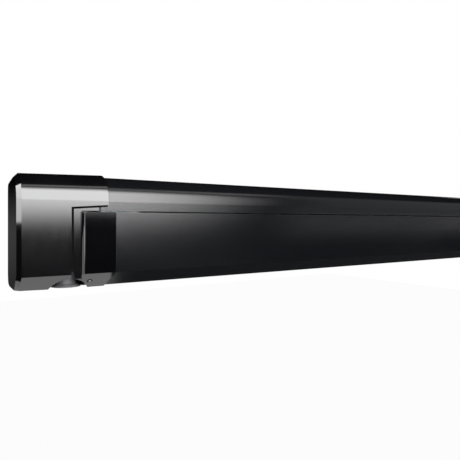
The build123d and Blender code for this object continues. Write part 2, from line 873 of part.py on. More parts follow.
def elbow_fork():
    """The upper arm's end: a web and two ears round the forearm's eye."""
    web_from = elbow_x - knuckle_length
    web_to = elbow_x - boss_radius - web_gap
    y_low, y_high = upper_tube_y - tube_width / 2, upper_tube_y + tube_width / 2
    plate = ear(elbow_x, -elbow_advance, web_from, web_to, y_low, y_high)
    web = flat_box(web_from, web_to, y_low, y_high, tube_height)
    plug = spigot(web_from - spigot_length, web_from, upper_tube_y)
    fork = fused([web, plug, *ear_pair(plate)])
    return arm_frame(fork - pillar(elbow_x, -elbow_advance, pin_radius, tube_height + cut_overrun))


def elbow_pin():
    return arm_frame(pivot_pin(elbow_x, -elbow_advance))


def arm_spring():
    """The tension spring inside the upper arm with its end rod and its cable."""
    start = knuckle_length + spigot_length
    end = elbow_x - knuckle_length - spigot_length
    lie = Plane(origin=(start, upper_tube_y, 0), z_dir=(1, 0, 0))
    hook = extrude(lie * Circle(spring_hook_radius), spigot_length)
    coil = extrude(lie.offset(spigot_length) * Circle(spring_radius), spring_length)
    cable_start = spigot_length + spring_length
    cable = extrude(lie.offset(cable_start) * Circle(cable_radius), end - start - cable_start)
    return arm_frame(hook + coil + cable)


def shoulder_bolt_offsets():
    across, up = shoulder_bolt_spacing_x / 2, shoulder_bolt_spacing_z / 2
    return [(-across, -up), (across, -up), (-across, up), (across, up)]


def shoulder_bracket():
    """Two ears for the upper arm on a foot that bolts to the cassette's back wall."""
    plate = ear(0, 0, -boss_radius, boss_radius, 0, shoulder_depth)
    ears = arm_frame(fused(ear_pair(plate)))
    inside = block(-half_length, 0, inner_depth, cassette_depth, wall, cassette_height)
    ears = ears & inside
    foot_top = shoulder_height + shoulder_foot_height / 2
    foot = block(
        -shoulder_x - shoulder_foot_length / 2,
        -shoulder_x + shoulder_foot_length / 2,
        inner_depth,
        inner_depth + bracket_foot_wall,
        max(wall, shoulder_height - shoulder_foot_height / 2),
        foot_top,
    )
    bracket = ears + foot - arm_frame(pillar(0, 0, pin_radius, tube_height + cut_overrun))
    for dx, dz in shoulder_bolt_offsets():
        hole = rod_y(
            shoulder_bolt_radius,
            -shoulder_x + dx,
            inner_depth - cut_overrun,
            inner_depth + bracket_foot_wall + cut_overrun,
            shoulder_height + dz,
        )
        bracket = bracket - hole
    return bracket


def shoulder_bolts():
    """Bolts from behind the cassette's back wall into the shoulder brackets."""
    bolts = []
    for dx, dz in shoulder_bolt_offsets():
        x, height = -shoulder_x + dx, shoulder_height + dz
        head = rod_y(
            shoulder_bolt_head_radius, x, back_depth - shoulder_bolt_head_height, back_depth, height
        )
        shank = rod_y(shoulder_bolt_radius, x, back_depth, inner_depth + bracket_foot_wall, height)
        bolts.append(head + shank)
    return apart(bolts + [other_end(bolt) for bolt in bolts])


def shoulder_pins():
    pin = arm_frame(pivot_pin(0, 0))
    return apart([pin, other_end(pin)])


def wrist_bracket():
    """Two ears for the forearm on a foot on the back of the lead rail."""
    reach = rail_back_depth - wrist_depth + pin_head_radius
    plate = ear(0, -wrist_advance, -boss_radius, boss_radius, -wrist_advance - reach, -wrist_advance)
    ears = arm_frame(fused(ear_pair(plate)))
    foot_depth = rail_back_depth - wrist_foot_wall / 2
    ears = ears & block(-half_length, 0, 0, foot_depth, 0, cassette_height)
    foot = block(
        -shoulder_x - wrist_foot_length / 2,
        -shoulder_x + wrist_foot_length / 2,
        rail_back_depth - wrist_foot_wall,
        rail_back_depth,
        wrist_foot_centre_height - wrist_foot_height / 2,
        wrist_foot_centre_height + wrist_foot_height / 2,
    )
    return ears + foot - arm_frame(pillar(0, -wrist_advance, pin_radius, tube_height + cut_overrun))


def wrist_brackets():
    bracket = wrist_bracket()
    return apart([bracket, other_end(bracket)])


def wrist_pins():
    pin = arm_frame(pivot_pin(0, -wrist_advance))
    return apart([pin, other_end(pin)])


# Lead rail


def rail_outline(grow):
    """Outer section of the lead rail: a box behind and a taller nose in front."""
    front = cassette_depth + grow
    bottom = -grow
    return section(
        [
            (rail_back_depth, bottom),
            (cassette_depth - bevel_depth, bottom),
            (front, bevel_height),
            (front, rail_top_height),
            (rail_nose_depth, rail_top_height),
            (rail_nose_depth, rail_box_height),
            (rail_back_depth, rail_box_height),
        ]
    )


def lead_rail_profile():
    face = rail_outline(0)
    channel_top = rail_box_height - rail_wall
    channel_back = rail_back_depth + rail_wall
    face = face - strip(channel_back, channel_front_depth, -cut_overrun, channel_top)
    web = channel_front_depth + rail_wall
    inner_front = cassette_depth - rail_front_wall
    slope = bevel_height / bevel_depth
    web_low = rail_front_wall * 2 + slope * (web - channel_front_depth)
    front_low = rail_front_wall * 2 + slope * (inner_front - channel_front_depth)
    chamber = section(
        [
            (web, web_low),
            (inner_front, front_low),
            (inner_front, channel_top),
            (web, channel_top),
        ]
    )
    face = face - chamber
    upper = strip(rail_nose_depth + rail_wall, inner_front, rail_box_height, rail_top_height - rail_wall)
    face = face - upper
    face = face + disc(keder_depth, keder_height, keder_radius + soft_gap + keder_boss_wall) & rail_outline(0)
    face = face - disc(keder_depth, keder_height, keder_radius + soft_gap)
    slot_half = keder_slot / 2
    slot_top = rail_top_height + cut_overrun
    slot = strip(keder_depth - slot_half, keder_depth + slot_half, keder_height, slot_top)
    face = face - slot
    rail = along(face, -rail_x, rail_x)
    for x, height in ((-leg_pivot_x, upper_leg_height), (leg_pivot_x, lower_leg_height)):
        rail = rail - rod_y(hinge_pin_radius, x, rail_back_depth - cut_overrun, web + cut_overrun, height)
    return rail


def lead_cap(with_notch):
    """The left-hand moulded end of the lead rail: a hollow block, open towards the rail."""
    face = rail_outline(rail_cap_proud)
    outer = along(face, -rail_cap_x, -rail_lip_x)
    corner = [
        edge
        for edge in outer.edges().filter_by(Axis.Z)
        if edge.center().X < -rail_cap_x + rail_cap_wall and edge.center().Y < -cassette_depth
    ]
    outer = fillet(corner, rail_cap_edge)
    hollow_face = offset(face, -rail_cap_wall, kind=Kind.INTERSECTION)
    cap = outer - along(hollow_face, -rail_cap_x + rail_cap_wall, -rail_x - rail_cap_wall)
    cap = cap - along(rail_outline(running_fit), -rail_x, -rail_lip_x + cut_overrun) - rail_lip_mitre()
    cap = cap - block(-rail_x, -rail_lip_x + cut_overrun, 0, rail_nose_depth, -cap_proud, cassette_height)
    tongue = block(
        -rail_x,
        -rail_x + rail_cap_tongue,
        rail_nose_depth + rail_wall + cap_fit,
        cassette_depth - rail_front_wall - cap_fit,
        rail_box_height + cap_fit,
        keder_height - keder_radius - soft_gap - keder_boss_wall - cap_fit,
    )
    cap = cap + tongue
    cap = cap + bevel_buffer(-half_length + buffer_from_end)
    if with_notch:
        low = -rail_cap_proud - cut_overrun
        mouth = rod_z(bell_opening_radius, gear_x, worm_depth, low, bell_notch_height)
        behind = block(
            -rail_cap_x - cut_overrun,
            gear_x + bell_opening_radius - cut_overrun,
            rail_back_depth - cut_overrun,
            worm_depth,
            low,
            bell_notch_height,
        )
        cap = cap - mouth - behind
    return largest(cap)


def rail_lip_mitre():
    """What the lip of the lead rail's cap leaves free on the slanted underside."""
    low = -rail_cap_proud - cut_overrun
    corners = [(-rail_x, low), (-rail_lip_x + cut_overrun, low)]
    rise = (rail_cap_mitre_height - low) / rail_cap_lip * cut_overrun
    corners = corners + [(-rail_lip_x + cut_overrun, rail_cap_mitre_height + rise)]
    face = make_face(Polyline(*corners, close=True))
    plane = Plane(origin=(0, 0, 0), x_dir=(1, 0, 0), z_dir=(0, -1, 0))
    return extrude(plane * face, cassette_depth + rail_cap_proud + cut_overrun)


def bevel_buffer(x):
    """A small round stop on the slanted underside."""
    run = bevel_depth + rail_cap_proud
    rise = bevel_height + rail_cap_proud
    long = hypot(run, rise)
    outward = (0, -rise / long, -run / long)
    centre_depth = cassette_depth - bevel_depth + run * buffer_place_share
    centre = (x, -centre_depth, -rail_cap_proud + rise * buffer_place_share)
    plane = Plane(origin=centre, x_dir=(1, 0, 0), z_dir=outward)
    sunk = rail_cap_wall / 2
    return extrude(plane.offset(-sunk) * Circle(buffer_radius), sunk + buffer_height)


def canopy_line():
    """Points of the fabric between the lead rail's groove and the roll, in the section."""
    top = (keder_depth, rail_top_height + keder_slot)
    reach = canopy_roll_radius + soft_gap + canopy_thickness / 2
    across, up = top[0] - roller_depth, top[1] - roller_height
    angle = atan2(up, across) + atan2(sqrt(across**2 + up**2 - reach**2), reach)
    touch = (roller_depth + reach * cos(angle), roller_height + reach * sin(angle))
    return (keder_depth, keder_height + keder_radius), top, touch


def canopy_run():
    """The stretch of fabric between the keder and the roll when the awning is shut."""
    start, top, touch = canopy_line()
    half = canopy_thickness / 2
    length = hypot(touch[0] - top[0], touch[1] - top[1])
    across = (-(touch[1] - top[1]) / length * half, (touch[0] - top[0]) / length * half)
    points = [
        (start[0] - half, start[1]),
        (start[0] + half, start[1]),
        (top[0] + half, top[1] + half),
        (touch[0] - across[0], touch[1] - across[1]),
        (touch[0] + across[0], touch[1] + across[1]),
        (top[0] - half, top[1] - half),
    ]
    return along(section(points), -canopy_x, canopy_x)


def canopy_keder():
    """The round bead that holds the fabric in the lead rail."""
    return along(disc(keder_depth, keder_height, keder_radius), -canopy_x, canopy_x)


def leg_hinge_pins():
    pins = []
    for x, height in ((-leg_pivot_x, upper_leg_height), (leg_pivot_x, lower_leg_height)):
        pins.append(rod_y(hinge_pin_radius, x, rail_back_depth, channel_front_depth + rail_wall, height))
    return apart(pins)


# Support legs, drawn along +X from the left hinge and then lifted to their own level


def leg_section(shrink, solid_bar=False):
    """One tube of the telescope, smaller by a wall and a fit at each stage."""
    width = leg_width - 2 * shrink * (leg_wall + leg_fit)
    height = leg_height - 2 * shrink * (leg_wall + leg_fit)
    face = RectangleRounded(width, height, leg_corner)
    if not solid_bar:
        face = face - RectangleRounded(width - 2 * leg_wall, height - 2 * leg_wall, leg_corner - leg_wall)
    return face


def leg_run(face, x_from, x_to):
    plane = Plane(origin=(x_from, 0, 0), x_dir=(0, 1, 0), z_dir=(1, 0, 0))
    return extrude(plane * face, x_to - x_from)


def leg_place(shape, side, height):
    """Carry a leg's piece from its own drawing to the left or right end of the rail."""
    moved = Pos(-leg_pivot_x, -leg_depth, height) * shape
    return moved if side < 0 else other_end(moved)


def cross_pin(radius, x, height, width):
    """A short bar across the leg, square to the wall."""
    return Pos(x, 0, height) * Rot(90, 0, 0) * Cylinder(radius, width)


def lever_pivot(x_end):
    """Place of a clamp lever's pin under a collar that ends at x_end."""
    return x_end - lug_length / 2, -leg_height / 2 - lever_eye_radius - lever_gap


def lever_lugs(x_end):
    """Two ears under a collar that hold a clamp lever's pin."""
    pivot_x, pivot_z = lever_pivot(x_end)
    top = -leg_height / 2
    low = pivot_z - lever_eye_radius
    lugs = []
    for side in (-1, 1):
        y = side * (lever_width / 2 + lever_gap + lug_width / 2)
        lugs.append(Pos(pivot_x, y, (top + low) / 2) * Box(lug_length, lug_width, top - low))
    hole = cross_pin(lever_pin_radius + running_fit, pivot_x, pivot_z, leg_width + cut_overrun)
    return lugs, hole


def outer_leg():
    tube = leg_run(leg_section(0), leg_height, outer_leg_length)
    root = leg_run(leg_section(1, True), 0, leg_height * 2)
    eye = cross_pin(leg_height / 2, 0, 0, leg_width)
    neck = Pos(leg_height / 2, 0, 0) * Box(leg_height, leg_width, leg_height)
    lugs, hole = lever_lugs(outer_leg_length)
    leg = fused([tube, root, eye, neck, *lugs]) - hole
    return leg - cross_pin(hinge_pin_radius + running_fit, 0, 0, leg_width + cut_overrun)


def middle_leg():
    tube = leg_run(leg_section(1), middle_leg_start, middle_leg_end)
    ring = leg_section(0, True) - leg_section(1, True)
    collar = leg_run(ring, outer_leg_length + soft_gap, middle_leg_end)
    lugs, hole = lever_lugs(middle_leg_end)
    return fused([tube, collar, *lugs]) - hole


def foot_eye(width):
    """A round-nosed bar from the foot's pivot back towards the leg, lying along X."""
    nose = cross_pin(foot_eye_radius, foot_pivot, 0, width)
    root = Pos(foot_pivot - foot_pivot_reach / 2, 0, 0) * Box(foot_pivot_reach, width, 2 * foot_eye_radius)
    return nose + root


def inner_leg():
    tube = leg_run(leg_section(2), inner_leg_start, inner_leg_end)
    collar = leg_run(leg_section(0, True), middle_leg_end + soft_gap, inner_leg_end)
    hole = cross_pin(foot_pin_radius + running_fit, foot_pivot, 0, leg_width)
    return tube + collar + foot_eye(foot_tongue_width) - hole


def foot():
    """A forked plastic foot that tips on the end of the leg."""
    sole_from = foot_pivot + foot_eye_radius + foot_gap
    sole_to = inner_leg_end + foot_length
    middle = (foot_pivot + sole_from) / 2
    ears = cross_pin(foot_eye_radius, foot_pivot, 0, leg_width)
    ears = ears + Pos(middle, 0, 0) * Box(sole_from - foot_pivot, leg_width, 2 * foot_eye_radius)
    sole = Pos((sole_from + sole_to) / 2, 0, 0) * Box(sole_to - sole_from, leg_width, leg_height)
    slot_width = foot_tongue_width + 2 * soft_gap
    slot = Pos(foot_pivot, 0, 0) * Box(2 * (sole_from - foot_pivot), slot_width, leg_height)
    pin = cross_pin(foot_pin_radius, foot_pivot, 0, leg_width)
    return ears - slot + sole + pin


def clamp_lever(x_end):
    """A flat cam lever under the end of a tube, folded back along it, with its pin."""
    pivot_x, pivot_z = lever_pivot(x_end)
    eye = cross_pin(lever_eye_radius, pivot_x, pivot_z, lever_width)
    height = pivot_z - lever_eye_radius + lever_thickness / 2
    blade = Pos(pivot_x - lever_length / 2, 0, height) * Box(lever_length, lever_width, lever_thickness)
    pin = cross_pin(lever_pin_radius, pivot_x, pivot_z, lever_width + 2 * (lever_gap + lug_width))
    return eye + blade + pin


def write_leg(name, side, height):
    pieces = {
        "leg_outer": outer_leg(),
        "leg_middle": middle_leg(),
        "leg_inner": inner_leg(),
        "foot": foot(),
        "outer_lever": clamp_lever(outer_leg_length),
        "middle_lever": clamp_lever(middle_leg_end),
    }
    for piece, shape in pieces.items():
        write(name + "_" + piece, leg_place(shape, side, height))


def write_arms():
    arm = {
        "upper_arm_tube": upper_arm_tube(),
        "shoulder_knuckle": shoulder_knuckle(),
        "elbow_fork": elbow_fork(),
        "elbow_pin": elbow_pin(),
        "arm_spring": arm_spring(),
        "forearm_tube": forearm_tube(),
        "elbow_knuckle": elbow_knuckle(),
    }
    for piece, shape in arm.items():
        write("left_" + piece, shape)
        write("right_" + piece, other_end(shape))
    write("left_wrist_knuckle", wrist_knuckle(pin_radius + running_fit))
    write("right_wrist_knuckle", other_end(wrist_knuckle(pin_radius + open_pivot_fit)))


def write_cassette():
    write("cassette_profile", cassette_profile())
    write("left_end_cap", end_cap(True))
    write("right_end_cap", other_end(end_cap(False)))
    write("left_end_plate", end_plate(True))
    write("right_end_plate", other_end(end_plate(False)))
    write("end_plate_screws", plate_screws())
    write("wall_brackets", wall_brackets())
    write("bracket_lock_screws", lock_screws())
    write("rain_seal", rain_seal())
    write("left_shoulder_bracket", shoulder_bracket())
    write("right_shoulder_bracket", other_end(shoulder_bracket()))
    write("shoulder_bolts", shoulder_bolts())
    write("shoulder_pins", shoulder_pins())


def write_gear_and_roller():
    write("gearbox_housing", gearbox_housing())
    write("gearbox_cover", gearbox_cover())
    write("winding_bell", winding_bell())
    write("worm_shaft", worm_shaft())
    write("winding_eye", winding_eye())
    write("worm_wheel", worm_wheel())
    write("roller_tube", roller_tube())
    write("canopy_roll", canopy_roll())
    write("drive_plug", drive_plug())
    write("idler_plug", idler_plug())
    write("idler_pin", idler_pin())


def write_lead_rail():
    write("lead_rail_profile", lead_rail_profile())
    write("left_lead_cap", lead_cap(True))
    write("right_lead_cap", other_end(lead_cap(False)))
    write("wrist_brackets", wrist_brackets())
    write("wrist_pins", wrist_pins())
    write("canopy_run", canopy_run())
    write("canopy_keder", canopy_keder())
    write("leg_hinge_pins", leg_hinge_pins())


def main():
    os.makedirs("parts", exist_ok=True)
    write_cassette()
    write_gear_and_roller()
    write_arms()
    write_lead_rail()
    write_leg("left", -1, upper_leg_height)
    write_leg("right", 1, lower_leg_height)
    print("fabric extension", round(fabric_extension, 1), "roller turn", round(roller_turn, 1))
    print("gear ratio", gear_ratio, "leg travels", middle_leg_travel, inner_leg_travel)


main()
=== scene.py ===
import json
import math

import bmesh
import bpy
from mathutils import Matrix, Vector

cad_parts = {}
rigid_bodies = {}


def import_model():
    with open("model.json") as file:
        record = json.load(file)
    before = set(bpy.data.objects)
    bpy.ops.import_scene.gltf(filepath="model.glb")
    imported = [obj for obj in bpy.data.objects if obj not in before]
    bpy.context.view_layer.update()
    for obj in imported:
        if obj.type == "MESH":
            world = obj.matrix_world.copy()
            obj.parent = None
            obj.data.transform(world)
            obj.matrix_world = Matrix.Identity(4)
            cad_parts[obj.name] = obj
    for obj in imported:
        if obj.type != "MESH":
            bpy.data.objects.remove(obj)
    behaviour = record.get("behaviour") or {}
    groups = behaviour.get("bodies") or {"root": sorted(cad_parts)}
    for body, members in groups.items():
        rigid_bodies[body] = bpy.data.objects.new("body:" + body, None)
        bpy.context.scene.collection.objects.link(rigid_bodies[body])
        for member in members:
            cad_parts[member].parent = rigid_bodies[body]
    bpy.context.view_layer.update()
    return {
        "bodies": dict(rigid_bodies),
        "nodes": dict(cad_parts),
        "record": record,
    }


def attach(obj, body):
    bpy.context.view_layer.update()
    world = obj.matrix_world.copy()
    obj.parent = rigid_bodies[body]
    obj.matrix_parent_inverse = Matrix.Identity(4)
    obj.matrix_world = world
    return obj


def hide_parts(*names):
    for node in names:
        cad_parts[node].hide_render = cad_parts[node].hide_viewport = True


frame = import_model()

scene = bpy.context.scene
nodesOf = frame["nodes"]
print("frame loaded,", len(nodesOf), "CAD nodes")


# Materials: every pattern reads the object's own metres

def newMaterial(name, **sockets):
    material = bpy.data.materials.new(name)
    material.use_nodes = True
    shader = material.node_tree.nodes["Principled BSDF"]
    for socket, value in sockets.items():
        shader.inputs[socket.replace("_", " ")].default_value = value
    return material


def treeNode(tree, kind, links=(), **settings):
    node = tree.nodes.new(kind)
    for name, value in settings.items():
        socket = name.replace("_", " ")
        if socket in node.inputs:
            node.inputs[socket].default_value = value
        else:
            setattr(node, name, value)
    for socket, source in dict(links).items():
        tree.links.new(source, node.inputs[socket])
    return node


def treeMaths(tree, operation, first, second):
    node = treeNode(tree, "ShaderNodeMath", {0: first}, operation=operation)
    if isinstance(second, float):
        node.inputs[1].default_value = second
    else:
        tree.links.new(second, node.inputs[1])
    return node.outputs[0]


def addNode(material, kind, links=(), **settings):
    return treeNode(material.node_tree, kind, links, **settings)


def metres(material, stretch=(1, 1, 1)):
    place = addNode(material, "ShaderNodeTexCoord").outputs["Object"]
    return addNode(material, "ShaderNodeMapping", {"Vector": place}, Scale=stretch).outputs["Vector"]


def noise(material, scale, detail=2.0, stretch=(1, 1, 1), rough=0.5):
    links = {"Vector": metres(material, stretch)}
    node = addNode(material, "ShaderNodeTexNoise", links, Scale=scale, Detail=detail, Roughness=rough)
    return node.outputs["Fac"]


def remap(material, source, low, high, fromLow=0.3, fromHigh=0.7):
    node = addNode(material, "ShaderNodeMapRange", {"Value": source})
    for socket, value in zip(("From Min", "From Max", "To Min", "To Max"), (fromLow, fromHigh, low, high)):
        node.inputs[socket].default_value = value
    return node.outputs["Result"]


def blendColours(material, factor, first, second):
    # a Mix node has its colours on sockets 6 and 7, and the result on output 2
    node = addNode(material, "ShaderNodeMix", {0: factor}, data_type="RGBA")
    node.inputs[6].default_value = (*first, 1)
    node.inputs[7].default_value = (*second, 1)
    return node.outputs[2]


def feed(material, socket, source):
    material.node_tree.links.new(source, material.node_tree.nodes["Principled BSDF"].inputs[socket])


def bump(material, height, distance, strength=1.0, after=None):
    node = addNode(material, "ShaderNodeBump", {"Height": height}, Distance=distance, Strength=strength)
    if after is not None:
        material.node_tree.links.new(after, node.inputs["Normal"])
    return node.outputs["Normal"]


def coatedMetal(name, dark, light, roughness):
    # powder coat on aluminium: fine orange peel with a finer grain on it
    material = newMaterial(name, Specular_IOR_Level=0.8)
    cloud = noise(material, scale=9, detail=3, stretch=(0.3, 1, 1))
    grain = noise(material, scale=2600)
    feed(material, "Base Color", blendColours(material, remap(material, grain, 0, 1), dark, light))
    feed(material, "Roughness", remap(material, cloud, low=roughness - 0.03, high=roughness + 0.04))
    peel = bump(material, noise(material, scale=700), distance=0.00004)
    feed(material, "Normal", bump(material, grain, distance=0.00003, after=peel))
    return material


def moulding(name, dark, light, roughness, grain):
    # injection-moulded plastic: slow waves of the tool, a faint spark-eroded grain and light handling marks
    material = newMaterial(name, Specular_IOR_Level=0.9, Coat_Weight=0.5, Coat_Roughness=roughness * 0.6)
    cloud = noise(material, scale=30, detail=3)
    feed(material, "Base Color", blendColours(material, remap(material, cloud, 0, 1), dark, light))
    marks = noise(material, scale=160, detail=5, stretch=(1, 1, 0.25), rough=0.7)
    marks = remap(material, marks, low=roughness, high=roughness * 1.3, fromLow=0.45, fromHigh=0.75)
    feed(material, "Roughness", marks)
    feed(material, "Normal", bump(material, noise(material, scale=1500), distance=grain))
    return material


def dullRubber(name, dark, light):
    # without a shine, so that it stays dark in its gap as painted shadow
    material = newMaterial(name, Specular_IOR_Level=0.08)
    cloud = noise(material, scale=400, detail=3)
    feed(material, "Base Color", blendColours(material, cloud, dark, light))
    feed(material, "Roughness", remap(material, noise(material, scale=90), low=0.7, high=0.85))
    feed(material, "Normal", bump(material, noise(material, scale=2200), distance=0.00004))
    return material


def castMetal(name, dark, light, roughness):
    material = newMaterial(name, Metallic=1.0)
    cloud = noise(material, scale=60, detail=5, rough=0.65)
    pits = noise(material, scale=300, detail=4)
    feed(material, "Base Color", blendColours(material, remap(material, cloud, 0, 1), dark, light))
    feed(material, "Roughness", remap(material, pits, low=roughness - 0.06, high=roughness + 0.08))
    feed(material, "Normal", bump(material, noise(material, scale=900, detail=4, rough=0.6), distance=0.0001))
    return material


def drawnMetal(name, dark, light, roughness, stretch):
    # satin anodised extrusion: die lines run along it
    material = newMaterial(name, Metallic=1.0)
    lines = noise(material, scale=900, detail=3, stretch=stretch, rough=0.7)
    feed(material, "Base Color", blendColours(material, remap(material, lines, 0, 1), dark, light))
    feed(material, "Roughness", remap(material, lines, low=roughness - 0.05, high=roughness + 0.07))
    feed(material, "Normal", bump(material, lines, distance=0.00002))
    return material


def fabric(name, dark, light, thread):
    # plain weave of coated yarn on the sheet's own metres, with slow fading
    material = newMaterial(name, Roughness=0.62, Sheen_Weight=0.15)
    parts = addNode(material, "ShaderNodeSeparateXYZ", {"Vector": metres(material)})
    waves = []
    for axis in ("X", "Y"):
        turns = treeMaths(material.node_tree, "MULTIPLY", parts.outputs[axis], math.pi / thread)
        waves.append(addNode(material, "ShaderNodeMath", {0: turns}, operation="SINE").outputs[0])
    weave = treeMaths(material.node_tree, "MULTIPLY", waves[0], waves[1])
    faded = noise(material, scale=2.5, detail=3)
    feed(material, "Base Color", blendColours(material, remap(material, faded, 0, 1), dark, light))
    feed(material, "Normal", bump(material, weave, distance=thread * 0.3, strength=0.6))
    return material


anthraciteCoat = coatedMetal("anthraciteCoat", dark=(0.0065, 0.007, 0.0085), light=(0.012, 0.013, 0.0155),
                             roughness=0.105)
satinMoulding = moulding("satinMoulding", dark=(0.004, 0.004, 0.0045), light=(0.006, 0.006, 0.007),
                         roughness=0.11, grain=0.000005)
glossMoulding = moulding("glossMoulding", dark=(0.003, 0.003, 0.004), light=(0.0045, 0.0045, 0.006),
                         roughness=0.06, grain=0.000002)
polishedMoulding = moulding("polishedMoulding", dark=(0.003, 0.003, 0.0035), light=(0.004, 0.004, 0.0045),
                            roughness=0.05, grain=0.000001)
bellMoulding = moulding("bellMoulding", dark=(0.27, 0.27, 0.29), light=(0.32, 0.32, 0.34),
                        roughness=0.26, grain=0.00001)
darkPlastic = moulding("darkPlastic", dark=(0.022, 0.022, 0.023), light=(0.034, 0.034, 0.036),
                       roughness=0.45, grain=0.00006)
blackRubber = moulding("blackRubber", dark=(0.010, 0.010, 0.010), light=(0.018, 0.018, 0.018),
                       roughness=0.62, grain=0.00005)
# painted shadow: near-black rubber without a shine, for the dark line round the end caps' cut-out
paintedShadowRubber = dullRubber("paintedShadowRubber", dark=(0.002, 0.002, 0.002), light=(0.005, 0.005, 0.005))
castAlloy = castMetal("castAlloy", dark=(0.36, 0.37, 0.38), light=(0.52, 0.53, 0.54), roughness=0.42)
zincSteel = castMetal("zincSteel", dark=(0.50, 0.51, 0.50), light=(0.66, 0.67, 0.66), roughness=0.26)
gearBronze = castMetal("gearBronze", dark=(0.50, 0.33, 0.15), light=(0.66, 0.46, 0.24), roughness=0.3)
drawnAlloy = drawnMetal("drawnAlloy", dark=(0.50, 0.51, 0.53), light=(0.66, 0.67, 0.69), roughness=0.3,
                        stretch=(0.02, 1, 1))
greyCanopy = fabric("greyCanopy", dark=(0.30, 0.31, 0.33), light=(0.36, 0.37, 0.39), thread=0.0006)

finishes = {
    "anthracite_coat": anthraciteCoat, "black_moulding": satinMoulding, "dark_plastic": darkPlastic,
    "cast_alloy": castAlloy, "drawn_alloy": drawnAlloy, "zinc_steel": zincSteel, "bronze": gearBronze,
    "black_rubber": blackRubber, "grey_canopy": greyCanopy,
}
ownFinish = {"left_lead_cap": glossMoulding, "right_lead_cap": glossMoulding, "winding_bell": bellMoulding}
slotOf = {part["node"]: part["material_slot"] for part in frame["record"]["subparts"]}
bodyOf = {node: body for body, group in frame["record"]["behaviour"]["bodies"].items() for node in group}
for node, slot in slotOf.items():
    nodesOf[node].data.materials.clear()
    nodesOf[node].data.materials.append(ownFinish.get(node, finishes[slot]))
print("finishes on all CAD nodes")


# Pieces of the scene's own

tolerance = {"merge": 0.2e-6, "screwMerge": 1e-6, "cutMerge": 2e-6, "onPlane": 1e-6, "near": 1e-5}
shading = {
    "largeShare": 0.002,  # of a mesh's area, from which a face can count as flat
    "surelyFlat": 10,     # so many times that, and it does whatever lies beside it
    "likeSize": 0.35,     # share of a face's area from which a neighbour counts
    "curve": (1, 25),     # degrees between neighbours on a curve
    "alike": 36,          # degrees within which corners share a direction
}


def addPiece(name, mesh, finish, *stoodFor, body=None, slot=None):
    piece = bpy.data.objects.new(name, mesh)
    scene.collection.objects.link(piece)
    mesh.materials.clear()
    mesh.materials.append(finish)
    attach(piece, body or bodyOf[stoodFor[0]])
    if stoodFor:
        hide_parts(*stoodFor)
    return piece


def mergedCopy(node):
    work = bmesh.new()
    work.from_mesh(nodesOf[node].data)
    bmesh.ops.remove_doubles(work, verts=work.verts, dist=tolerance["merge"])
    return work


def smoothShaded(mesh, sharpAngle):
    mesh.shade_smooth()
    mesh.set_sharp_from_angle(angle=math.radians(sharpAngle))
    return mesh


def meshFrom(work, name, sharpAngle=32):
    mesh = bpy.data.meshes.new(name)
    work.to_mesh(mesh)
    work.free()
    return smoothShaded(mesh, sharpAngle)


def bakedMesh(piece, name):
    # the piece with its modifiers, as a plain mesh
    shape = bpy.data.meshes.new_from_object(piece.evaluated_get(bpy.context.evaluated_depsgraph_get()))
    shape.name = name
    bpy.data.objects.remove(piece)
    return shape


def looseObject(name, mesh):
    piece = bpy.data.objects.new(name, mesh)
    scene.collection.objects.link(piece)
    return piece


def flatFaces(mesh):
    # large faces, apart from those that a neighbour of like size meets at a small angle, as on a curve
    enough = shading["largeShare"] * sum(polygon.area for polygon in mesh.polygons)
    least, most = [math.radians(degrees) for degrees in shading["curve"]]
    besides = {}
    for polygon in mesh.polygons:
        for key in polygon.edge_keys:
            besides.setdefault(key, []).append(polygon)
    flat = set()
    for polygon in mesh.polygons:
        if polygon.area < enough:
            continue
        near = [other for key in polygon.edge_keys for other in besides[key]]
        near = [other for other in near if other.area > shading["likeSize"] * polygon.area]
        turns = [polygon.normal.angle(other.normal, 0) for other in near if other.index != polygon.index]
        if polygon.area > shading["surelyFlat"] * enough or not any(least < turn < most for turn in turns):
            flat.add(polygon.index)
    return flat


def flatShaded(mesh, byArea=False):
    # large flat faces shade quite flat, and what rounds into them starts from their direction
    # byArea: other corners take the mean of the faces round them that turn little, each counted by its area
    mesh.update()
    flat, around = flatFaces(mesh), {}
    for polygon in mesh.polygons:
        for vertex in polygon.vertices:
            around.setdefault(vertex, []).append(polygon)
    corners = [corner.vector.copy() for corner in mesh.corner_normals]
    for polygon in mesh.polygons:
        for loop in polygon.loop_indices:
            if polygon.index in flat:
                corners[loop] = polygon.normal.copy()
                continue
            beside = around[mesh.loops[loop].vertex_index]
            turns = sorted((polygon.normal.angle(other.normal, math.pi), i) for i, other in enumerate(beside))
            near = [beside[i] for turn, i in turns if turn < math.radians(shading["alike"])]
            level = [other.normal.copy() for other in near if other.index in flat]
            if level:
                corners[loop] = level[0]
            elif byArea and near:
                corners[loop] = sum((other.normal * other.area for other in near), Vector()).normalized()
    mesh.normals_split_custom_set(corners)
    return mesh


def grid(rows, closed=False):
    # quads between neighbouring rows of points; closed joins each row's end to its start and caps both ends
    work = bmesh.new()
    rings = [[work.verts.new(point) for point in row] for row in rows]
    count = len(rows[0])
    for first, second in zip(rings, rings[1:]):
        for i in range(count if closed else count - 1):
            j = (i + 1) % count
            work.faces.new((first[i], first[j], second[j], second[i]))
    if closed:
        work.faces.new(rings[0][::-1])
        work.faces.new(rings[-1])
    return work


def islands(node):
    # lowest and highest corner of each loose solid of a CAD node
    work = mergedCopy(node)
    left, found = set(work.verts), []
    while left:
        group, edge = set(), [left.pop()]
        while edge:
            vert = edge.pop()
            group.add(vert)
            near = [link.other_vert(vert) for link in vert.link_edges]
            edge += [other for other in near if other in left]
            left -= set(near)
        low = Vector([min(vert.co[i] for vert in group) for i in range(3)])
        high = Vector([max(vert.co[i] for vert in group) for i in range(3)])
        found.append((low, high))
    work.free()
    return sorted(found, key=lambda box: tuple(box[0]))


# Moulded and cast parts: the same solids with broken edges

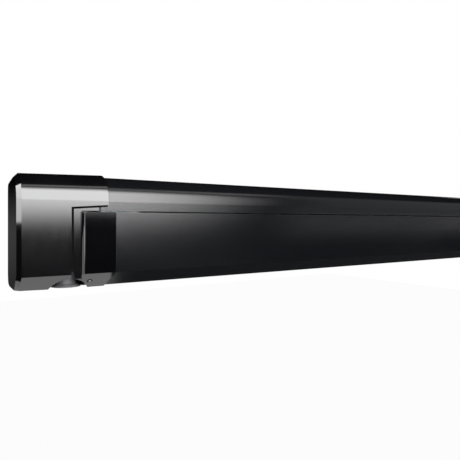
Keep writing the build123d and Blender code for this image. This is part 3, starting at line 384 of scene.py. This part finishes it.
brokenEdges = {
    "left_lead_cap": 0.0008, "right_lead_cap": 0.0008, "wall_brackets": 0.0008,
    "left_shoulder_bracket": 0.0006, "right_shoulder_bracket": 0.0006, "wrist_brackets": 0.0006,
    "left_shoulder_knuckle": 0.0008, "right_shoulder_knuckle": 0.0008,
    "left_elbow_fork": 0.0008, "right_elbow_fork": 0.0008,
    "left_elbow_knuckle": 0.0008, "right_elbow_knuckle": 0.0008,
    "left_wrist_knuckle": 0.0008, "right_wrist_knuckle": 0.0008,
    "left_foot": 0.0005, "right_foot": 0.0005,
    "left_outer_lever": 0.0004, "right_outer_lever": 0.0004,
    "left_middle_lever": 0.0004, "right_middle_lever": 0.0004,
}
rounding = {
    "flatWithin": 1.5, "sharpFrom": 32, "sharpAngle": 40,  # degrees
    "segments": 3, "profile": 0.6, "widthsLong": 3,
}
leadCap = {
    "flange": 0.0014, "flangeDepths": (0.0970, 0.0972), "chamferFrom": 0.8790,
    "draft": 0.0175, "draftFrom": 0.075, "draftHeight": 0.0865,
}


def breakEdges(work, width, shortest):
    # rounds the longer sharp edges of a solid
    bmesh.ops.dissolve_limit(work, angle_limit=math.radians(rounding["flatWithin"]), verts=work.verts,
                             edges=work.edges)
    sharp = [edge for edge in work.edges if len(edge.link_faces) == 2 and edge.calc_length() > shortest
             and edge.calc_face_angle_signed(0) > math.radians(rounding["sharpFrom"])]
    bmesh.ops.bevel(work, geom=sharp, offset=width, offset_type="OFFSET", segments=rounding["segments"],
                    profile=rounding["profile"], affect="EDGES", clamp_overlap=True)


def dressLeadCap(work):
    # a thin flange covers the pocket's gap, and the mould's draft leans the face back below its upper edge
    for depth in leadCap["flangeDepths"]:
        bmesh.ops.bisect_plane(work, geom=work.verts[:] + work.edges[:] + work.faces[:],
                               dist=tolerance["onPlane"], plane_co=(0, -depth, 0), plane_no=(0, 1, 0))
    flangeFrom = leadCap["flangeDepths"][1] - tolerance["near"]
    for vert in work.verts:
        if -vert.co.y > flangeFrom and abs(vert.co.x) > leadCap["chamferFrom"]:
            vert.co.x += math.copysign(leadCap["flange"], vert.co.x)
        if -vert.co.y > leadCap["draftFrom"]:
            vert.co.y += leadCap["draft"] * (leadCap["draftHeight"] - vert.co.z)


for node, width in brokenEdges.items():
    work = mergedCopy(node)
    if node.endswith("lead_cap"):
        dressLeadCap(work)
    breakEdges(work, width, width * rounding["widthsLong"])
    shape = flatShaded(meshFrom(work, node + "Edged", rounding["sharpAngle"]))
    addPiece(node + "_edged", shape, ownFinish.get(node, finishes[slotOf[node]]), node)
print("edges broken on", len(brokenEdges), "parts")


# End caps: the cheek's rear edge is rounded off, and a narrow gap runs round the cut-out's floor

endCap = {
    "end": 0.95, "edge": 0.0004, "shortestEdge": 0.0008, "spare": 0.0004,
    # the cheek's sections: how far in, the rear edge's depth, the corners' depth, low height and high height
    "rear": [(-0.001, 0.029, 0.0155, 0.0345, 0.0185), (0.0, 0.028, 0.015, 0.034, 0.018),
             (0.0009, 0.017, 0.011, 0.026, 0.014), (0.0024, 0.004, 0.006, 0.012, 0.008),
             (0.006, -0.002, 0.001, 0.001, 0.001)],
    "cornerSteps": 8, "roofAtRear": 0.119, "roofSlope": 0.1166,
    # what is kept reaches this far: to the front, up, down at the cheek and further in, and along the awning
    "frontmost": 0.12, "highest": 0.140, "cheekFoot": -0.0004, "innerFoot": -0.006, "innerFrom": 0.004,
    "inTo": 0.80,
    "stepX": 0.8956, "stepLow": 0.0902, "stepHigh": 0.0931, "stepFloor": 0.0965, "stepEnd": 0.855,
    "gap": 0.0022, "gapSeen": 0.0036, "gapDepth": 0.0025, "gapTo": 0.85, "gapFoot": -0.004,
    "chamfer": 0.0044, "chamferSpare": 0.0002, "chamferTurn": (0.45, 0.9),
}
paintedShadowSeal = {
    "clear": 0.0001, "sunk": 0.0003, "crown": 0.0001, "thick": 0.0022, "foot": 0.0185,
    # its last leg, a painted shadow line, lies on the profile, from and to these places along the awning
    "onProfile": (0.8632, 0.8553), "profileDepth": 0.1003, "profileThick": 0.0002,
}


def rearSection(x, depth, corner, low, high, foot):
    sizes = endCap
    points = [(x, -sizes["frontmost"], foot), (x, -sizes["frontmost"], sizes["highest"])]
    roof = sizes["roofAtRear"] + sizes["roofSlope"] * (depth + corner) + sizes["spare"]
    turns = [math.pi / 2 * i / sizes["cornerSteps"] for i in range(sizes["cornerSteps"] + 1)]
    for angle in turns:
        points.append((x, -depth - corner + corner * math.sin(angle), roof - high + high * math.cos(angle)))
    for angle in turns:
        points.append((x, -depth - corner + corner * math.cos(angle), foot + low - low * math.sin(angle)))
    return points


def booleaned(mesh, others, name):
    piece = looseObject(name, mesh)
    helpers = []
    for i, (other, operation) in enumerate(others):
        helpers.append(looseObject(name + "Tool" + str(i), other))
        modifier = piece.modifiers.new(operation, "BOOLEAN")
        modifier.object, modifier.operation, modifier.solver = helpers[-1], operation, "EXACT"
    shape = bakedMesh(piece, name)
    for helper in helpers:
        bpy.data.objects.remove(helper)
    return shape


def plainMesh(work, name):
    bmesh.ops.recalc_face_normals(work, faces=work.faces)
    bmesh.ops.triangulate(work, faces=work.faces)
    mesh = bpy.data.meshes.new(name)
    work.to_mesh(mesh)
    work.free()
    return mesh


def gapCutter(corners, side, name):
    # a prism through the floor of the cut-out, from its corners along the awning and up
    depths = (endCap["stepFloor"] - endCap["gapDepth"], endCap["stepFloor"] + endCap["spare"])
    rows = [[(side * x, -depth, z) for x, z in corners] for depth in depths]
    return plainMesh(grid(rows, closed=True), name)


def endCapMesh(node, side):
    sizes = endCap
    rows = []
    for inset, depth, corner, low, high in sizes["rear"]:
        foot = sizes["cheekFoot"] if inset < sizes["innerFrom"] else sizes["innerFoot"]
        rows.append(rearSection(side * (sizes["end"] - inset), depth, corner, low, high, foot))
    rows.append([(side * sizes["inTo"], y, z) for x, y, z in rows[-1]])
    keep = plainMesh(grid(rows, closed=True), node + "Rear")
    step, stepLow, gapTo = sizes["stepX"], sizes["stepLow"], sizes["gapTo"]
    stepHigh, seen = sizes["stepHigh"] + sizes["spare"], step - sizes["gapSeen"]
    top = [(step, stepLow - sizes["gap"]), (gapTo, stepHigh - sizes["gap"]), (gapTo, stepHigh), (step, stepLow)]
    upright = [(step, sizes["gapFoot"]), (seen, sizes["gapFoot"]), (seen, stepLow), (step, stepLow)]
    mesh = booleaned(plainMesh(mergedCopy(node), node + "Solid"), [
        (keep, "INTERSECT"),
        (gapCutter(top, side, node + "TopGap"), "DIFFERENCE"),
        (gapCutter(upright, side, node + "SideGap"), "DIFFERENCE"),
    ], node + "Cut")
    work = bmesh.new()
    work.from_mesh(mesh)
    bmesh.ops.remove_doubles(work, verts=work.verts, dist=tolerance["cutMerge"])
    breakEdges(work, sizes["edge"], sizes["shortestEdge"])
    least, most = sizes["chamferTurn"]
    for face in work.faces:
        inset = sizes["end"] - abs(face.calc_center_median().x)
        onChamfer = inset < sizes["chamfer"] + sizes["chamferSpare"] and least < face.normal.x * side < most
        face.material_index = 1 if onChamfer else 0
    return flatShaded(meshFrom(work, node + "Shape", rounding["sharpAngle"]), byArea=True)


def capSeal(side, name):
    # a soft cord of near-black, shineless rubber in the gap round the cut-out's floor as its painted shadow,
    # and on to the profile as a painted shadow line
    sizes, clear, crown = endCap, paintedShadowSeal["clear"], paintedShadowSeal["crown"]
    step, floor = sizes["stepX"], sizes["stepFloor"] - paintedShadowSeal["sunk"]
    seen = step - sizes["gapSeen"] + clear
    slope = (sizes["stepHigh"] - sizes["stepLow"]) / (step - sizes["stepEnd"])
    start, end = paintedShadowSeal["onProfile"]
    legs = [
        {"from": step - clear, "to": seen, "foot": paintedShadowSeal["foot"], "depth": floor, "thick": paintedShadowSeal["thick"]},
        {"from": seen, "to": start + clear, "depth": floor, "thick": paintedShadowSeal["thick"]},
        {"from": start, "to": end, "depth": paintedShadowSeal["profileDepth"], "thick": paintedShadowSeal["profileThick"]},
    ]
    work = bmesh.new()
    for leg in legs:
        rings = []
        front, back = -leg["depth"], leg["thick"] - leg["depth"]
        for x in (leg["from"], leg["to"]):
            high = sizes["stepLow"] + slope * (step - x) - clear
            low = leg.get("foot", high - sizes["gap"] + 2 * clear)
            middle = (low + high) / 2
            ring = [(back, low), (front + crown, low), (front, middle), (front + crown, high), (back, high)]
            rings.append([work.verts.new((side * x, y, z)) for y, z in ring])
        count = len(rings[0])
        for i in range(count):
            j = (i + 1) % count
            work.faces.new((rings[0][i], rings[0][j], rings[1][j], rings[1][i]))
        work.faces.new(rings[0][::-1])
        work.faces.new(rings[1])
    bmesh.ops.recalc_face_normals(work, faces=work.faces)
    addPiece(name, meshFrom(work, name), paintedShadowRubber, body="cassette", slot="black_rubber")


for node, side in (("left_end_cap", -1), ("right_end_cap", 1)):
    # each cap's gap gets a near-black cord as painted shadow, carried on to the profile as a painted shadow
    # line
    capSeal(side, node.split("_")[0] + "_gap_seal")
    mesh = endCapMesh(node, side)
    spots = [polygon.material_index for polygon in mesh.polygons]
    addPiece(node + "_moulded", mesh, satinMoulding, node)
    mesh.materials.append(polishedMoulding)
    mesh.polygons.foreach_set("material_index", spots)
print("end caps rounded")


# Screws and springs, each made by a tree with its sizes as inputs

def newTree(name, inputs):
    tree = bpy.data.node_groups.new(name, "GeometryNodeTree")
    tree.interface.new_socket("Geometry", in_out="INPUT", socket_type="NodeSocketGeometry")
    for label, kind in inputs.items():
        tree.interface.new_socket(label, in_out="INPUT", socket_type="NodeSocket" + kind)
    tree.interface.new_socket("Geometry", in_out="OUTPUT", socket_type="NodeSocketGeometry")
    return tree, tree.nodes.new("NodeGroupInput").outputs, tree.nodes.new("NodeGroupOutput").inputs


def lifted(tree, mesh, height):
    shift = treeNode(tree, "ShaderNodeCombineXYZ", {"Z": height}).outputs[0]
    return treeNode(tree, "GeometryNodeTransform", {"Geometry": mesh, "Translation": shift}).outputs[0]


def treeCylinder(tree, sides, radius, depth):
    links = {"Radius": radius, "Depth": depth}
    return treeNode(tree, "GeometryNodeMeshCylinder", links, Vertices=sides).outputs["Mesh"]


def joined(tree, meshes):
    whole = treeNode(tree, "GeometryNodeJoinGeometry")
    for mesh in meshes:
        tree.links.new(mesh, whole.inputs[0])
    return whole.outputs[0]


def turnedTo(tree, direction):
    return treeNode(tree, "FunctionNodeAlignRotationToVector", {"Vector": direction}, axis="Z").outputs[0]


def finished(tree, geometry, finish, output):
    real = treeNode(tree, "GeometryNodeRealizeInstances", {"Geometry": geometry}).outputs[0]
    dressed = treeNode(tree, "GeometryNodeSetMaterial", {"Geometry": real, "Material": finish}).outputs[0]
    tree.links.new(dressed, output)


def grown(name, source, tree, values):
    # runs a tree on a mesh and returns the plain mesh that it makes
    piece = looseObject(name, source)
    modifier = piece.modifiers.new("maker", "NODES")
    modifier.node_group = tree
    sockets = {item.name: item.identifier for item in tree.interface.items_tree if item.in_out == "INPUT"}
    for label, value in values.items():
        modifier[sockets[label]] = value
    mesh = bakedMesh(piece, name)
    work = bmesh.new()
    work.from_mesh(mesh)
    bmesh.ops.remove_doubles(work, verts=work.verts, dist=tolerance["screwMerge"])
    bmesh.ops.dissolve_degenerate(work, edges=work.edges, dist=tolerance["screwMerge"])
    work.to_mesh(mesh)
    work.free()
    mesh.validate()
    return mesh


screwShape = {  # sides, and shares of the head's height and radius
    "headSides": 40, "socketSides": 6, "shankSides": 24,
    "rim": 0.65, "bevel": 0.36, "bevelMiddle": 0.64, "bevelTop": 0.86, "socketMiddle": 0.92,
}


def screwTree(shape):
    # on every point a bevelled head with a six-sided socket, and its shank, turned to the point's axis
    tree, given, result = newTree("screws", {
        "Head radius": "Float", "Head height": "Float", "Socket radius": "Float", "Shank radius": "Float",
        "Shank length": "Float", "Finish": "Material"})
    radius, height, length = given["Head radius"], given["Head height"], given["Shank length"]

    def ofHeight(share):
        return treeMaths(tree, "MULTIPLY", height, share)

    rim = treeCylinder(tree, shape["headSides"], radius, ofHeight(shape["rim"]))
    rim = lifted(tree, rim, ofHeight(shape["rim"] / 2))
    coneLinks = {"Radius Bottom": radius, "Radius Top": treeMaths(tree, "MULTIPLY", radius, shape["bevelTop"]),
                 "Depth": ofHeight(shape["bevel"])}
    top = treeNode(tree, "GeometryNodeMeshCone", coneLinks, Vertices=shape["headSides"]).outputs["Mesh"]
    top = lifted(tree, top, ofHeight(shape["bevelMiddle"]))
    socket = treeCylinder(tree, shape["socketSides"], given["Socket radius"], height)
    socket = lifted(tree, socket, ofHeight(shape["socketMiddle"]))
    pieces = []
    for solid in (rim, top):
        links = {"Mesh 1": solid, "Mesh 2": socket}
        pieces.append(treeNode(tree, "GeometryNodeMeshBoolean", links, operation="DIFFERENCE").outputs["Mesh"])
    shank = treeCylinder(tree, shape["shankSides"], given["Shank radius"], length)
    pieces.append(lifted(tree, shank, treeMaths(tree, "MULTIPLY", length, -0.5)))
    points = treeNode(tree, "GeometryNodeMeshToPoints", {"Mesh": given["Geometry"]}).outputs[0]
    axis = treeNode(tree, "GeometryNodeInputNamedAttribute", data_type="FLOAT_VECTOR", Name="axis")
    turn = turnedTo(tree, axis.outputs["Attribute"])
    links = {"Points": points, "Instance": joined(tree, pieces), "Rotation": turn}
    placed = treeNode(tree, "GeometryNodeInstanceOnPoints", links).outputs[0]
    finished(tree, placed, given["Finish"], result["Geometry"])
    return tree


screws = {
    "end_plate_screws": {"axis": (1, 0, 0), "headRadius": 0.0034, "headHeight": 0.0024,
                         "socket": 0.0017, "shank": 0.0021},
    "bracket_lock_screws": {"axis": (0, 0, -1), "headRadius": 0.0045, "headHeight": 0.003,
                            "socket": 0.0022, "shank": 0.0025},
    "shoulder_bolts": {"axis": (0, 1, 0), "headRadius": 0.005, "headHeight": 0.002,
                       "socket": 0.0025, "shank": 0.003},
}
screwMaker = screwTree(screwShape)
for node, sizes in screws.items():
    points, axes = [], []
    for low, high in islands(node):
        middle, axis = (low + high) / 2, Vector(sizes["axis"])
        if node == "end_plate_screws" and middle.x < 0:
            axis = -axis
        reach = sum(abs(axis[i]) * (high - low)[i] for i in range(3))
        points.append(middle + axis * (reach / 2 - sizes["headHeight"]))
        axes.append(axis)
    source = bpy.data.meshes.new(node + "Points")
    source.from_pydata([tuple(point) for point in points], [], [])
    stored = source.attributes.new("axis", "FLOAT_VECTOR", "POINT")
    stored.data.foreach_set("vector", [x for axis in axes for x in axis])
    mesh = grown(node + "Turned", source, screwMaker, {
        "Head radius": sizes["headRadius"], "Head height": sizes["headHeight"],
        "Socket radius": sizes["socket"], "Shank radius": sizes["shank"],
        "Shank length": reach - sizes["headHeight"], "Finish": zincSteel})
    addPiece(node + "_turned", smoothShaded(mesh, sharpAngle=30), zincSteel, node)
print("screws turned")


spring = {
    "rod": 0.002, "rodLength": 0.030, "coil": 0.0070, "coilLength": 0.330, "wire": 0.0009, "pitch": 0.0019,
    "cable": 0.0012, "rodSides": 20, "turnSteps": 14, "wireSides": 6, "cableSides": 12, "endSlice": 0.0012,
}


def springTree(sizes):
    # a hook rod, a close-wound coil and a cable in one line from the start point
    tree, given, result = newTree("armSpring", {
        "Start": "Vector", "Direction": "Vector", "Rod radius": "Float", "Rod length": "Float",
        "Coil radius": "Float", "Coil length": "Float", "Wire radius": "Float", "Pitch": "Float",
        "Cable radius": "Float", "Cable length": "Float", "Finish": "Material"})
    rodLength, coilLength, cableLength = given["Rod length"], given["Coil length"], given["Cable length"]
    rod = treeCylinder(tree, sizes["rodSides"], given["Rod radius"], rodLength)
    rod = lifted(tree, rod, treeMaths(tree, "MULTIPLY", rodLength, 0.5))
    links = {"Rotations": treeMaths(tree, "DIVIDE", coilLength, given["Pitch"]),
             "Start Radius": given["Coil radius"], "End Radius": given["Coil radius"], "Height": coilLength}
    path = treeNode(tree, "GeometryNodeCurveSpiral", links, Resolution=sizes["turnSteps"]).outputs["Curve"]
    links = {"Radius": given["Wire radius"]}
    wire = treeNode(tree, "GeometryNodeCurvePrimitiveCircle", links, Resolution=sizes["wireSides"])
    links = {"Curve": path, "Profile Curve": wire.outputs["Curve"]}
    coil = treeNode(tree, "GeometryNodeCurveToMesh", links, Fill_Caps=True).outputs["Mesh"]
    coil = lifted(tree, coil, rodLength)
    cable = treeCylinder(tree, sizes["cableSides"], given["Cable radius"], cableLength)
    cableStart = treeMaths(tree, "ADD", rodLength, coilLength)
    halfCable = treeMaths(tree, "MULTIPLY", cableLength, 0.5)
    cable = lifted(tree, cable, treeMaths(tree, "ADD", cableStart, halfCable))
    links = {"Geometry": joined(tree, (rod, coil, cable)), "Translation": given["Start"],
             "Rotation": turnedTo(tree, given["Direction"])}
    placed = treeNode(tree, "GeometryNodeTransform", links).outputs[0]
    finished(tree, placed, given["Finish"], result["Geometry"])
    return tree


def springLine(node):
    # middle of the rod's end, and from there to the middle of the cable's end
    spots = [vert.co.copy() for vert in nodesOf[node].data.vertices]
    xs = sorted((spot.x for spot in spots), reverse=node.startswith("right"))
    ends = []
    for x in (xs[0], xs[-1]):
        group = [spot for spot in spots if abs(spot.x - x) < spring["endSlice"]]
        ends.append(Vector([(min(s[i] for s in group) + max(s[i] for s in group)) / 2 for i in range(3)]))
    return ends[0], ends[1] - ends[0]


springMaker = springTree(spring)
for node in ("left_arm_spring", "right_arm_spring"):
    start, line = springLine(node)
    mesh = grown(node + "Wound", bpy.data.meshes.new(node + "Start"), springMaker, {
        "Start": start, "Direction": line, "Rod radius": spring["rod"], "Rod length": spring["rodLength"],
        "Coil radius": spring["coil"] - spring["wire"], "Coil length": spring["coilLength"],
        "Wire radius": spring["wire"], "Pitch": spring["pitch"], "Cable radius": spring["cable"],
        "Cable length": line.length - spring["rodLength"] - spring["coilLength"], "Finish": zincSteel})
    addPiece(node + "_wound", smoothShaded(mesh, sharpAngle=50), zincSteel, node)
print("springs wound")


# Canopy: the stretch from the rail to the roll, the wound roll and the bead

canopy = {
    "half": 0.800, "cloth": 0.0004,
    # places as depth and height
    "groove": (0.084, 0.0831), "overRail": (0.084, 0.0868), "roller": (0.046, 0.088),
    "touchRadius": 0.0296, "bend": 0.00035, "bendRows": 12, "farRows": 6, "columns": 64,
    "coreRadius": 0.0252, "rollRadius": 0.0289, "pitch": 0.00046, "turnSteps": 60, "rollColumns": 4,
    "beadHeight": 0.0801, "beadRadius": 0.0029, "beadFrom": 102, "beadTurn": 336, "beadSteps": 30,
    "neckHalf": 0.0003, "neckUp": 0.0002, "beadEnd": 0.0006, "beadEndShare": 0.8,
}


def across(sizes, count):
    return [-sizes["half"] + 2 * sizes["half"] * i / count for i in range(count + 1)]


def touchPoint(sizes):
    # where the stretch meets the roll, as depth and height
    depth, height = [there - here for there, here in zip(sizes["overRail"], sizes["roller"])]
    reach = sizes["touchRadius"]
    angle = math.atan2(height, depth) + math.atan2(math.sqrt(depth ** 2 + height ** 2 - reach ** 2), reach)
    return sizes["roller"][0] + reach * math.cos(angle), sizes["roller"][1] + reach * math.sin(angle)


def canopyStretch(sizes):
    start, top, touch = sizes["groove"], sizes["overRail"], touchPoint(sizes)
    line = [(start, 0.0), ((start[0], (start[1] + top[1]) / 2), 0.0)]
    # up to the bend the rows draw out with the rail, and beyond it they stay behind the cassette's lip
    bend, count, far = sizes["bend"] / math.dist(top, touch), sizes["bendRows"], sizes["farRows"]
    shares = [(bend * i / count, i / count) for i in range(count + 1)]
    shares += [(bend + (1 - bend) * i / far, 1) for i in range(1, far + 1)]
    for share, weight in shares:
        place = (top[0] + (touch[0] - top[0]) * share, top[1] + (touch[1] - top[1]) * share)
        line.append((place, weight))
    columns = across(sizes, sizes["columns"])
    work = grid([[(x, -depth, height) for x in columns] for (depth, height), _ in line])
    piece = addPiece("canopy_sheet", meshFrom(work, "canopyStretch", sharpAngle=60), greyCanopy, "canopy_run")
    held = piece.vertex_groups.new(name="roll")
    for row, (_, weight) in enumerate(line):
        if weight > 0:
            held.add(range(row * len(columns), (row + 1) * len(columns)), weight, "REPLACE")
    hook = piece.modifiers.new("rollEnd", "HOOK")
    hook.object = frame["bodies"]["cassette"]
    hook.vertex_group = "roll"
    hook.matrix_inverse = frame["bodies"]["cassette"].matrix_world.inverted() @ piece.matrix_world
    thick = piece.modifiers.new("cloth", "SOLIDIFY")
    thick.thickness, thick.offset = sizes["cloth"], 0.0


def woundRoll(sizes):
    depth, height = sizes["roller"]
    growth = sizes["rollRadius"] - sizes["coreRadius"]
    turns = growth / sizes["pitch"]
    steps = int(turns * sizes["turnSteps"])
    line, length = [], 0.0
    for i in range(steps + 1):
        angle = math.pi / 2 - 2 * math.pi * turns * (1 - i / steps)
        radius = sizes["coreRadius"] + (growth - sizes["pitch"] / 2) * i / steps
        line.append((-depth - radius * math.cos(angle), height + radius * math.sin(angle)))
        length += math.dist(line[-1], line[-2]) if i else 0.0
    work = grid([[(x, y, z) for x in across(sizes, sizes["rollColumns"])] for y, z in line])
    piece = looseObject("roll", meshFrom(work, "roll", sharpAngle=60))
    thick = piece.modifiers.new("cloth", "SOLIDIFY")
    thick.thickness, thick.offset = sizes["cloth"], 0.0
    piece = addPiece("wound_canopy", bakedMesh(piece, "woundCanopy"), greyCanopy, "canopy_roll")


def bead(sizes):
    (depth, neck), height, radius = sizes["groove"], sizes["beadHeight"], sizes["beadRadius"]
    outline = []
    for i in range(sizes["beadSteps"] + 1):
        angle = math.radians(sizes["beadFrom"] + sizes["beadTurn"] * i / sizes["beadSteps"])
        outline.append((-depth - radius * math.cos(angle), height + radius * math.sin(angle)))
    for way in (-1, 1):
        outline.append((-depth + way * sizes["neckHalf"], neck + sizes["neckUp"]))
    half, inner, share = sizes["half"], sizes["half"] - sizes["beadEnd"], sizes["beadEndShare"]
    rows = []
    for x, scale in ((-half, share), (-inner, 1.0), (inner, 1.0), (half, share)):
        rows.append([(x, -depth + (y + depth) * scale, height + (z - height) * scale) for y, z in outline])
    work = grid(rows, closed=True)
    bmesh.ops.recalc_face_normals(work, faces=work.faces)
    addPiece("canopy_bead", meshFrom(work, "canopyBead", sharpAngle=40), greyCanopy, "canopy_keder")


canopyStretch(canopy)
woundRoll(canopy)
bead(canopy)
print("canopy made")


# Studio

def whiteWhenSeen(tree, plain, share):
    # white for the camera and in reflections, the plain shader for the light on the object
    path = treeNode(tree, "ShaderNodeLightPath").outputs
    seen = path["Is Camera Ray"]
    for ray in ("Is Glossy Ray", "Is Transmission Ray"):
        seen = treeMaths(tree, "MAXIMUM", seen, path[ray])
    white = treeNode(tree, "ShaderNodeEmission", Strength=1.0).outputs[0]
    links = {0: treeMaths(tree, "MULTIPLY", seen, share), 1: plain, 2: white}
    return treeNode(tree, "ShaderNodeMixShader", links).outputs[0]


studio = {"ambient": 0.35, "floorLevel": -2.4, "tableLevel": -0.5, "size": 30.0, "tone": 0.8, "seenWhite": 0.96}
world = bpy.data.worlds.new("studio")
scene.world = world
world.use_nodes = True
ambient = world.node_tree.nodes["Background"]
ambient.inputs["Color"].default_value = (1, 1, 1, 1)
ambient.inputs["Strength"].default_value = studio["ambient"]
worldOut = world.node_tree.nodes["World Output"]
world.node_tree.links.new(whiteWhenSeen(world.node_tree, ambient.outputs[0], 1.0), worldOut.inputs["Surface"])


def card(name, corners, colour, seenIn):
    mesh = bpy.data.meshes.new(name)
    mesh.from_pydata(corners, [], [(0, 1, 2, 3)])
    plane = looseObject(name, mesh)
    mesh.materials.append(newMaterial(name, Base_Color=(*colour, 1), Roughness=1.0, Specular_IOR_Level=0.0))
    plane.visible_camera = "camera" in seenIn
    plane.visible_diffuse = "diffuse" in seenIn
    plane.visible_glossy = "glossy" in seenIn
    plane.visible_transmission = "glossy" in seenIn
    plane.visible_shadow = "shadow" in seenIn
    return plane


def rectangle(x, y, z):
    # a card's corners from its spans; it leans where all three have a length
    if x[0] == x[1]:
        return [(x[0], y[0], z[0]), (x[0], y[1], z[0]), (x[0], y[1], z[1]), (x[0], y[0], z[1])]
    return [(x[0], y[0], z[0]), (x[1], y[0], z[0]), (x[1], y[1], z[1]), (x[0], y[1], z[1])]


def whiteGround(name, level, seenIn):
    half = studio["size"] / 2
    corners = rectangle((-half, half), (-half, half), (level, level))
    ground = card(name, corners, (studio["tone"],) * 3, seenIn)
    tree = ground.data.materials[0].node_tree
    shown = whiteWhenSeen(tree, tree.nodes["Principled BSDF"].outputs[0], studio["seenWhite"])
    tree.links.new(shown, tree.nodes["Material Output"].inputs["Surface"])


# the floor is far enough down for the legs, and reflections see a white table closer by
whiteGround("floor", studio["floorLevel"], ("camera", "diffuse", "glossy", "shadow"))
whiteGround("table", studio["tableLevel"], ("glossy",))

black = (0.003, 0.003, 0.003)
flags = {  # dark cards that only reflections see
    "flagFront": {"x": (-4, 6), "y": (-2.4, -2.4), "z": (-0.49, 0.05), "colour": black},
    "flagUnder": {"x": (-0.685, 6), "y": (-1.2, 2.5), "z": (-0.495, -0.495), "colour": (0.07, 0.07, 0.075)},
    "flagSide": {"x": (-2.3, -2.3), "y": (-1.6, 0.5), "z": (-0.49, 0.07), "colour": black},
    "flagAbove": {"x": (-4, 6), "y": (-1.0, 3), "z": (2.4, 2.4), "colour": black},
    "flagBehind": {"x": (-4, 6), "y": (3, 3), "z": (-0.49, 2.4), "colour": black},
    "flagLeft": {"x": (-2.4, -2.4), "y": (0.35, 3), "z": (-0.49, 2.4), "colour": black},
}
for name, flag in flags.items():
    card(name, rectangle(flag["x"], flag["y"], flag["z"]), flag["colour"], ("glossy",))

glows = {  # lit cards that only reflections see; each fade runs from dark to full along one axis, in metres
    "frontGlow": {"x": (-1.7, 1.2), "y": (-2.3, -1.24), "z": (-0.02, 2.06), "strength": 7.5,
                  "fades": [("Z", 0.015, 0.26), ("Z", 2.05, 1.4), ("X", 0.95, -0.35)]},
    "rearGlow": {"x": (-2.3, -0.4), "y": (2.95, 2.95), "z": (-0.49, 0.45), "strength": 0.06,
                 "fades": [("Z", 0.39, 0.0), ("Z", -0.75, 0.0)]},
    "sideGlow": {"x": (-2.15, -2.15), "y": (-1.2, 0.3), "z": (0.075, 2.2), "strength": 6.0,
                 "fades": [("Z", -0.3, 0.3)]},
    "rightGlow": {"x": (1.2, 6), "y": (-2.35, -1.0), "z": (0.1, 2.4), "strength": 0.2,
                  "fades": [("Z", 0.0, 0.4)]},
}


def glowCard(name, corners, strength, fades):
    plane = card(name, corners, black, ("glossy",))
    material = plane.data.materials[0]
    tree = material.node_tree
    parts = addNode(material, "ShaderNodeSeparateXYZ", {"Vector": metres(material)})
    amount = None
    for axis, dark, full in fades:
        links = {"Value": parts.outputs[axis]}
        fade = addNode(material, "ShaderNodeMapRange", links, interpolation_type="SMOOTHSTEP")
        low, high = sorted((dark, full))
        fade.inputs["From Min"].default_value, fade.inputs["From Max"].default_value = low, high
        fade.inputs["To Min"].default_value = 0 if dark < full else 1
        fade.inputs["To Max"].default_value = 1 if dark < full else 0
        shown = fade.outputs["Result"]
        amount = shown if amount is None else treeMaths(tree, "MULTIPLY", amount, shown)
    light = addNode(material, "ShaderNodeEmission", {"Strength": treeMaths(tree, "MULTIPLY", amount, strength)})
    tree.links.new(light.outputs[0], tree.nodes["Material Output"].inputs["Surface"])


for name, glow in glows.items():
    glowCard(name, rectangle(glow["x"], glow["y"], glow["z"]), glow["strength"], glow["fades"])

softboxes = {
    "frontBox": {"place": (-0.7, -2.3, 1.2), "target": (-0.5, 0, 0.1), "size": (2.4, 1.7), "power": 40},
    "sideBox": {"place": (-2.2, -0.4, 0.9), "target": (-0.9, -0.1, 0.1), "size": (1.0, 1.0), "power": 8},
}
for name, box in softboxes.items():
    data = bpy.data.lights.new(name, "AREA")
    data.shape, data.energy = "RECTANGLE", box["power"]
    data.size, data.size_y = box["size"]
    lamp = looseObject(name, data)
    lamp.location = box["place"]
    lamp.rotation_euler = (Vector(box["target"]) - Vector(box["place"])).to_track_quat("-Z", "Y").to_euler()
    lamp.visible_glossy = False
print("studio lit")


# Camera: the photograph's view of the left end

eye = {
    "place": (-1.0149, -0.6034, 0.0725), "turn": 57.0, "tilt": 0.0, "fieldOfView": 54.79, "shiftY": -0.0152,
    "nearest": 0.01,
}
cameraData = bpy.data.cameras.new("camera")
camera = looseObject("camera", cameraData)
camera.location = eye["place"]
camera.rotation_euler = (math.radians(90 + eye["tilt"]), 0, math.radians(eye["turn"] - 90))
cameraData.sensor_fit = "HORIZONTAL"
cameraData.angle = math.radians(eye["fieldOfView"])
cameraData.shift_y = eye["shiftY"]
cameraData.clip_start = eye["nearest"]
scene.camera = camera

scene.view_settings.view_transform = "Standard"
